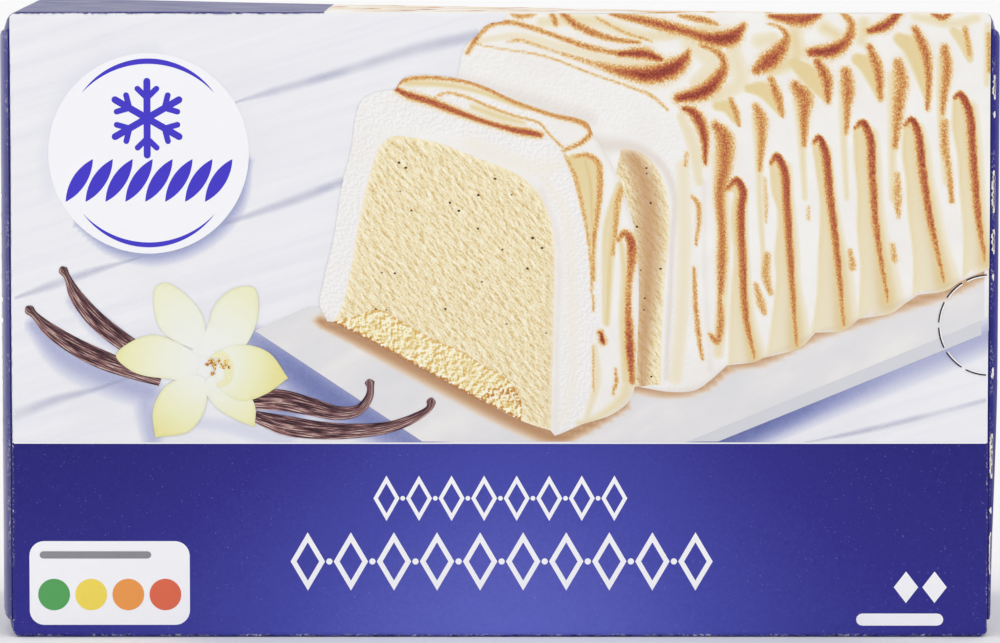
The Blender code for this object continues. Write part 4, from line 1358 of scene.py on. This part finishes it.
def panelField(name, panel, sLimits, tLimits, material, slot):
    half = depth / 2 if panel in ("left", "right") else width / 2
    reach = depth if panel in ("top", "bottom") else height
    lines = []
    for low, high, limits in ((-half, half, sLimits), (0, reach, tLimits)):
        whole = creaseLines(low, high, rest["gridStep"])
        start, end = limits or (low, high)
        lines.append(np.concatenate([[start], whole[(whole > start + 0.2) & (whole < end - 0.2)], [end]]))
    spots, faces = panelGrid(*lines)
    masks = {"crease": creaseMask(spots, np.array([-half, 0]), np.array([half, reach]))}
    masks["glow"] = np.full(len(spots), 0.12)
    masks["shadow"] = np.zeros(len(spots))
    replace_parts(printShape(name, panel, spots, faces, material, slot, **masks), "carton_body")


def ruleShapes(left, right, top, foot, count, half, seed):
    # plain rules of uneven length, where small print would be
    dice = random.Random(seed)
    rows = np.linspace(top, foot, count)
    return [barShape((left, z), (right - dice.uniform(0, 0.3) * (right - left), z), half) for z in rows]


overrun = {
    "gridStep": 1.2,
    "pitch": 17.0,
    "rows": 4,
    "rowPitch": 24,
    "offset": 8,  # of every second row
    "loose": 3,  # how far a swirl strays from its place
    # one swirl from its root: scorched strokes and pale hollow, as place, half width and heat
    "scorched": [
        (1.0, [(0, 0, 1.2, 0.4), (9, 3, 2.0, 0.8), (15.5, 9, 2.8, 1), (15, 16, 2.2, 0.8),
               (9, 20.5, 1.3, 0.55), (2, 20, 0.8, 0.4)]),
        (0.6, [(-2, 7, 0.6, 0.7), (4, 9, 1.2, 1), (8.5, 13, 1, 0.8), (8, 16.5, 0.6, 0.6)]),
        (0.4, [(3, 23.5, 0.7, 1), (10, 25, 1, 1), (17, 22, 0.6, 1)]),
    ],
    "hollow": [(1, 5, 2.6, 1), (8, 8, 4, 1), (11.5, 13, 3.6, 1), (6, 17.5, 2.6, 1)],
}


def turned(path, root, size, angle):
    # a stroke's points scaled and turned about its root
    places = np.array(path, float)
    cosine, sine = math.cos(angle) * size, math.sin(angle) * size
    places[:, :2] = places[:, :2] @ np.array([[cosine, sine], [-sine, cosine]]) + root
    places[:, 2] *= size
    return [tuple(place) for place in places]


def makeOverrun():
    # swirl after swirl of scorched meringue across the top
    low, high, step, loose = rest["topSplit"], width / 2, overrun["gridStep"], overrun["loose"]
    bend = high - board["creaseRadius"] * np.array([1.3, 0.8, 0.4, 0])
    across = np.concatenate([np.arange(low, high - 2, step), bend])
    spots, faces = panelGrid(across, creaseLines(0, depth, step))
    dice = random.Random(8)
    toast, cream = [], []
    for x in np.arange(low - 10, high + 10, overrun["pitch"]):
        for row in range(overrun["rows"]):
            size, turn = dice.uniform(0.85, 1.2), dice.uniform(-0.35, 0.35)
            left = x + dice.uniform(-loose, loose) + overrun["offset"] * (row % 2)
            root = np.array([left, 2 + overrun["rowPitch"] * row + dice.uniform(-loose, loose)])
            for strength, curl in overrun["scorched"]:
                toast.append((strength * dice.uniform(0.7, 1), turned(curl, root, size, turn)))
            cream.append((0.6, turned(overrun["hollow"], root, size, turn)))
    masks = {"toast": painted(spots, toast, 0.42, 0.8), "cream": painted(spots, cream)}
    masks["shade"] = np.zeros(len(spots))
    masks["rough"] = np.full(len(spots), 0.25)
    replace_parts(printShape("topOverrun", "top", spots, faces, meringueMaterial, **masks), "carton_body")


def makeNicks():
    # torn places down the right flap's fold, the long ones with a slit along them whose dark ink is a
    # painted shadow in the tear
    dice = random.Random(31)
    shapes, slits = [], []
    for middle, length, half in tab["nicks"]:
        heights = np.arange(middle - length / 2, middle + length / 2 + 0.1, 0.55)
        taper = np.sin(np.pi * np.linspace(0.08, 0.92, len(heights))) ** 0.4
        path = []
        for z, share in zip(heights, taper):
            path.append((-42.75 + dice.uniform(-0.15, 0.15), z, half * share * dice.uniform(0.7, 1.1)))
        shapes.append(ribbon(path, 3, 0.5))
        if length > 5:
            slits.append(ribbon([(s, z, thin - 0.32) for s, z, thin in path[2:-2]], 1, 0.8))
    torn, dark = newInk("tornBoard", tornInk, 0.05, 0.8, relief=0.2), flatInk("nickShadow", "2a2768", 0.1)
    printShapes("tornNicks", "rightFlap", shapes, torn, "blue_board")
    printShapes("nickSlits", "rightFlap", slits, dark, "blue_board")


def makeCrackMaterial():
    material = newInk("crackInk", crackInk, 0.1)
    tree = material.node_tree
    fine = grainNoise(tree, placed(tree), 0.55, 4, 0.7)
    away = less(tree, 1.0, maths(tree, "ABSOLUTE", mask(tree, "across")))
    seen = rise(tree, plus(tree, fine, times(tree, away, 0.12)), 0.55, 0.62)
    tree.links.new(seen, tree.nodes["Principled BSDF"].inputs["Alpha"])
    return material


def makePanels():
    endMaterial = newInk("endBlueInk", blueBandInk, 0.06, wear=0.35, shine=0.3)
    picture, band = (front["bandTop"], height), (0, front["bandTop"])
    panelField("topBlue", "top", (-width / 2, rest["topSplit"]), None, endMaterial, "blue_board")
    makeOverrun()
    panelField("backPicture", "back", None, picture, plankMaterial, "printed_board")
    panelField("backBand", "back", None, band, endMaterial, "blue_board")
    for name, panel in (("baseField", "bottom"), ("leftEnd", "left"), ("rightEnd", "right")):
        panelField(name, panel, None, None, endMaterial, "blue_board")
    printOutlines("backLabel", "back", [roundedBox(*rest["backLabel"])], whiteMaterial)
    printOutlines("backRules", "back", ruleShapes(*rest["backRules"], 5),
                  flatInk("ruleGreyInk", "9a9aa4", 0.1))
    printOutlines("baseLabel", "bottom", [roundedBox(*rest["baseLabel"])], whiteMaterial)
    for panel in ("leftFlap", "rightFlap"):
        printOutlines(panel + "Label", panel, [roundedBox(*rest["endLabel"])], whiteMaterial)
        printOutlines(panel + "Rules", panel, ruleShapes(*rest["endMarks"], 3), whiteMaterial)
    makeNicks()
    cracks = [ribbon(line, 2, 1.2) for line in rest["cracks"]]
    printShapes("creaseCracks", "front", cracks, makeCrackMaterial(), "blue_board")


flap = {
    "rows": 18,
    "ups": 40,
    "high": 145,  # rough height of a flap
    "wearReach": 2.0,  # how far in from its edges a flap's ink may be worn
    "liner": 0.07,  # thickness of the white liner on either face of the board
}


def flapEdgeInk(tree):
    # white liner either side of a grey-brown core
    fibres = grainNoise(tree, placed(tree), 2.2, 3, 0.7)
    core = inkRamp(tree, fibres, {0.35: "9d9186", 0.65: "c9c1b6"})
    away = maths(tree, "ABSOLUTE", less(tree, mask(tree, "thick"), 0.5))
    raw = mixInk(tree, rise(tree, away, 0.36, 0.44), core, ink("ebe9e5"))
    return mixInk(tree, mask(tree, "fold"), raw, ink("2c2974"))


def makeFlap(panel, cadNode, side, edgeMaterial, printMaterial):
    first, last = board["flapFold"] / depth, 1 - board["flapFree"] / depth
    rows = (np.arange(1, flap["rows"]) / flap["rows"]) ** 1.25  # closer together by the fold
    rows = np.unique(np.concatenate([[first], rows[(rows > first) & (rows < last)], [last]]))
    ups = np.linspace(0, 1, flap["ups"] + 1)
    share, up = np.meshgrid(rows, ups)
    inset = board["flapInset"] + board["flapTaper"] * ease(share / 0.15)
    inset = inset + board["flapCorner"] * ease((share - 0.9) / 0.1)
    t = inset + up * (topHeight((1 + side) / 2, share) - 2 * inset)
    spots = np.stack([((share - 0.5) * depth * side).ravel(), t.ravel()], -1)
    faces = panelGrid(rows, ups)[1]
    if side < 0:
        faces = [face[::-1] for face in faces]
    sideways = np.minimum(share - first, last - share) * depth
    edge = np.minimum(sideways, np.minimum(up, 1 - up) * flap["high"]).ravel()
    masks = {"crease": 1 - ease(edge / flap["wearReach"]), "glow": 0.1 + 0.1 * up.ravel()}
    outer = printShape(panel + "Print", panel, spots, faces, printMaterial, "blue_board", **masks)
    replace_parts(outer, cadNode)
    # the board's thickness all round, and its plain inner face
    number = np.arange(share.size).reshape(share.shape)
    ring = np.concatenate([number[0], number[1:, -1], number[-1, -2::-1], number[-2:0:-1, 0]])
    thick, liner = board["flapThick"], flap["liner"]
    depths = [0, liner, thick - liner, thick]
    points = [flapPoint(panel, *spots[ring].T, -lift) for lift in depths]
    walls = []
    count = len(ring)
    for level in range(3):
        here, there = level * count, (level + 1) * count
        for i in range(count):
            after = (i + 1) % count
            wall = (here + i, there + i, there + after, here + after)
            walls.append(wall if side > 0 else wall[::-1])
    points.append(flapPoint(panel, *spots.T, -thick))
    walls += [tuple(4 * count + corner for corner in face[::-1]) for face in faces]
    folded = np.abs(share.ravel()[ring] - first) < 1e-6  # the printed fold at the front
    masks = {"thick": np.concatenate([np.repeat(np.array(depths) / thick, count), np.ones(len(spots))])}
    masks["fold"] = np.concatenate([np.tile(folded, 4), np.zeros(len(spots))])
    inner = newPiece(panel + "Board", np.vstack(points), walls, edgeMaterial, masks)
    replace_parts(inner, cadNode)


makePanels()
edgeMaterial = newInk("boardEdge", flapEdgeInk, 0.05, 0.8)
leftInk = newInk("leftFlapInk", blueBandInk, 0.08, 0.34, wear=0.15, shine=0.75)
rightInk = newInk("rightFlapInk", blueBandInk, 0.08, 0.5, wear=0.15, shine=0.05)
makeFlap("leftFlap", "left_end_flap", -1, edgeMaterial, leftInk)
makeFlap("rightFlap", "right_end_flap", 1, edgeMaterial, rightInk)
print("other panels and flaps made")

# Camera and light
cameraView = {
    "aim": 1.1,  # how far above the panel's middle the camera looks
    "distance": 1500.0,  # from the front panel, in millimetres
    "rise": 5.1,  # degrees above level
    "frameWidth": 244.4,  # what the frame takes in at the front panel
    "sensor": 36.0,
}
studio = {
    # name, place in metres, width of the disc and power
    "lights": [
        ("leftLight", (-1.3, -1.9, 1.5), 1.6, 2.0),
        ("rightLight", (1.4, -1.9, 1.3), 1.6, 1.2),
    ],
    "aim": (0, 0, 0.08),
    "sky": 1.0,  # strength of the even white light all round
    "floorSize": 60,
    "floorWhite": 0.95,
}


def makeCamera():
    data = bpy.data.cameras.new("camera")
    camera = bpy.data.objects.new("camera", data)
    bpy.context.scene.collection.objects.link(camera)
    tilt, distance = math.radians(cameraView["rise"]), cameraView["distance"]
    target = Vector((0, -depth / 2, height / 2 + cameraView["aim"]))
    camera.location = (target + Vector((0, -math.cos(tilt), math.sin(tilt))) * distance) * mm
    camera.rotation_euler = (math.pi / 2 - tilt, 0, 0)
    data.sensor_width = cameraView["sensor"]
    data.lens = cameraView["sensor"] * distance / cameraView["frameWidth"]
    data.clip_start, data.clip_end = 0.01, 50
    bpy.context.scene.camera = camera


def makeLight(name, place, size, power):
    data = bpy.data.lights.new(name, "AREA")
    data.shape = "DISK"
    data.size = size
    data.energy = power
    light = bpy.data.objects.new(name, data)
    bpy.context.scene.collection.objects.link(light)
    light.location = place
    light.rotation_euler = (Vector(studio["aim"]) - Vector(place)).to_track_quat("-Z", "Y").to_euler()


def makeStudio():
    scene = bpy.context.scene
    scene.view_settings.view_transform = "Standard"
    world = bpy.data.worlds.new("studio")
    world.use_nodes = True
    background = world.node_tree.nodes["Background"]
    background.inputs["Color"].default_value = (1, 1, 1, 1)
    background.inputs["Strength"].default_value = studio["sky"]
    scene.world = world
    for light in studio["lights"]:
        makeLight(*light)
    bpy.ops.mesh.primitive_plane_add(size=studio["floorSize"])
    floor = bpy.context.object
    floor.name = "floor"
    material = bpy.data.materials.new("floorWhite")
    material.use_nodes = True
    shader = material.node_tree.nodes["Principled BSDF"]
    shader.inputs["Base Color"].default_value = (*(studio["floorWhite"],) * 3, 1)
    shader.inputs["Roughness"].default_value = 0.9
    shader.inputs["Specular IOR Level"].default_value = 0.1
    floor.data.materials.append(material)


makeCamera()
makeStudio()
print("camera and light set")
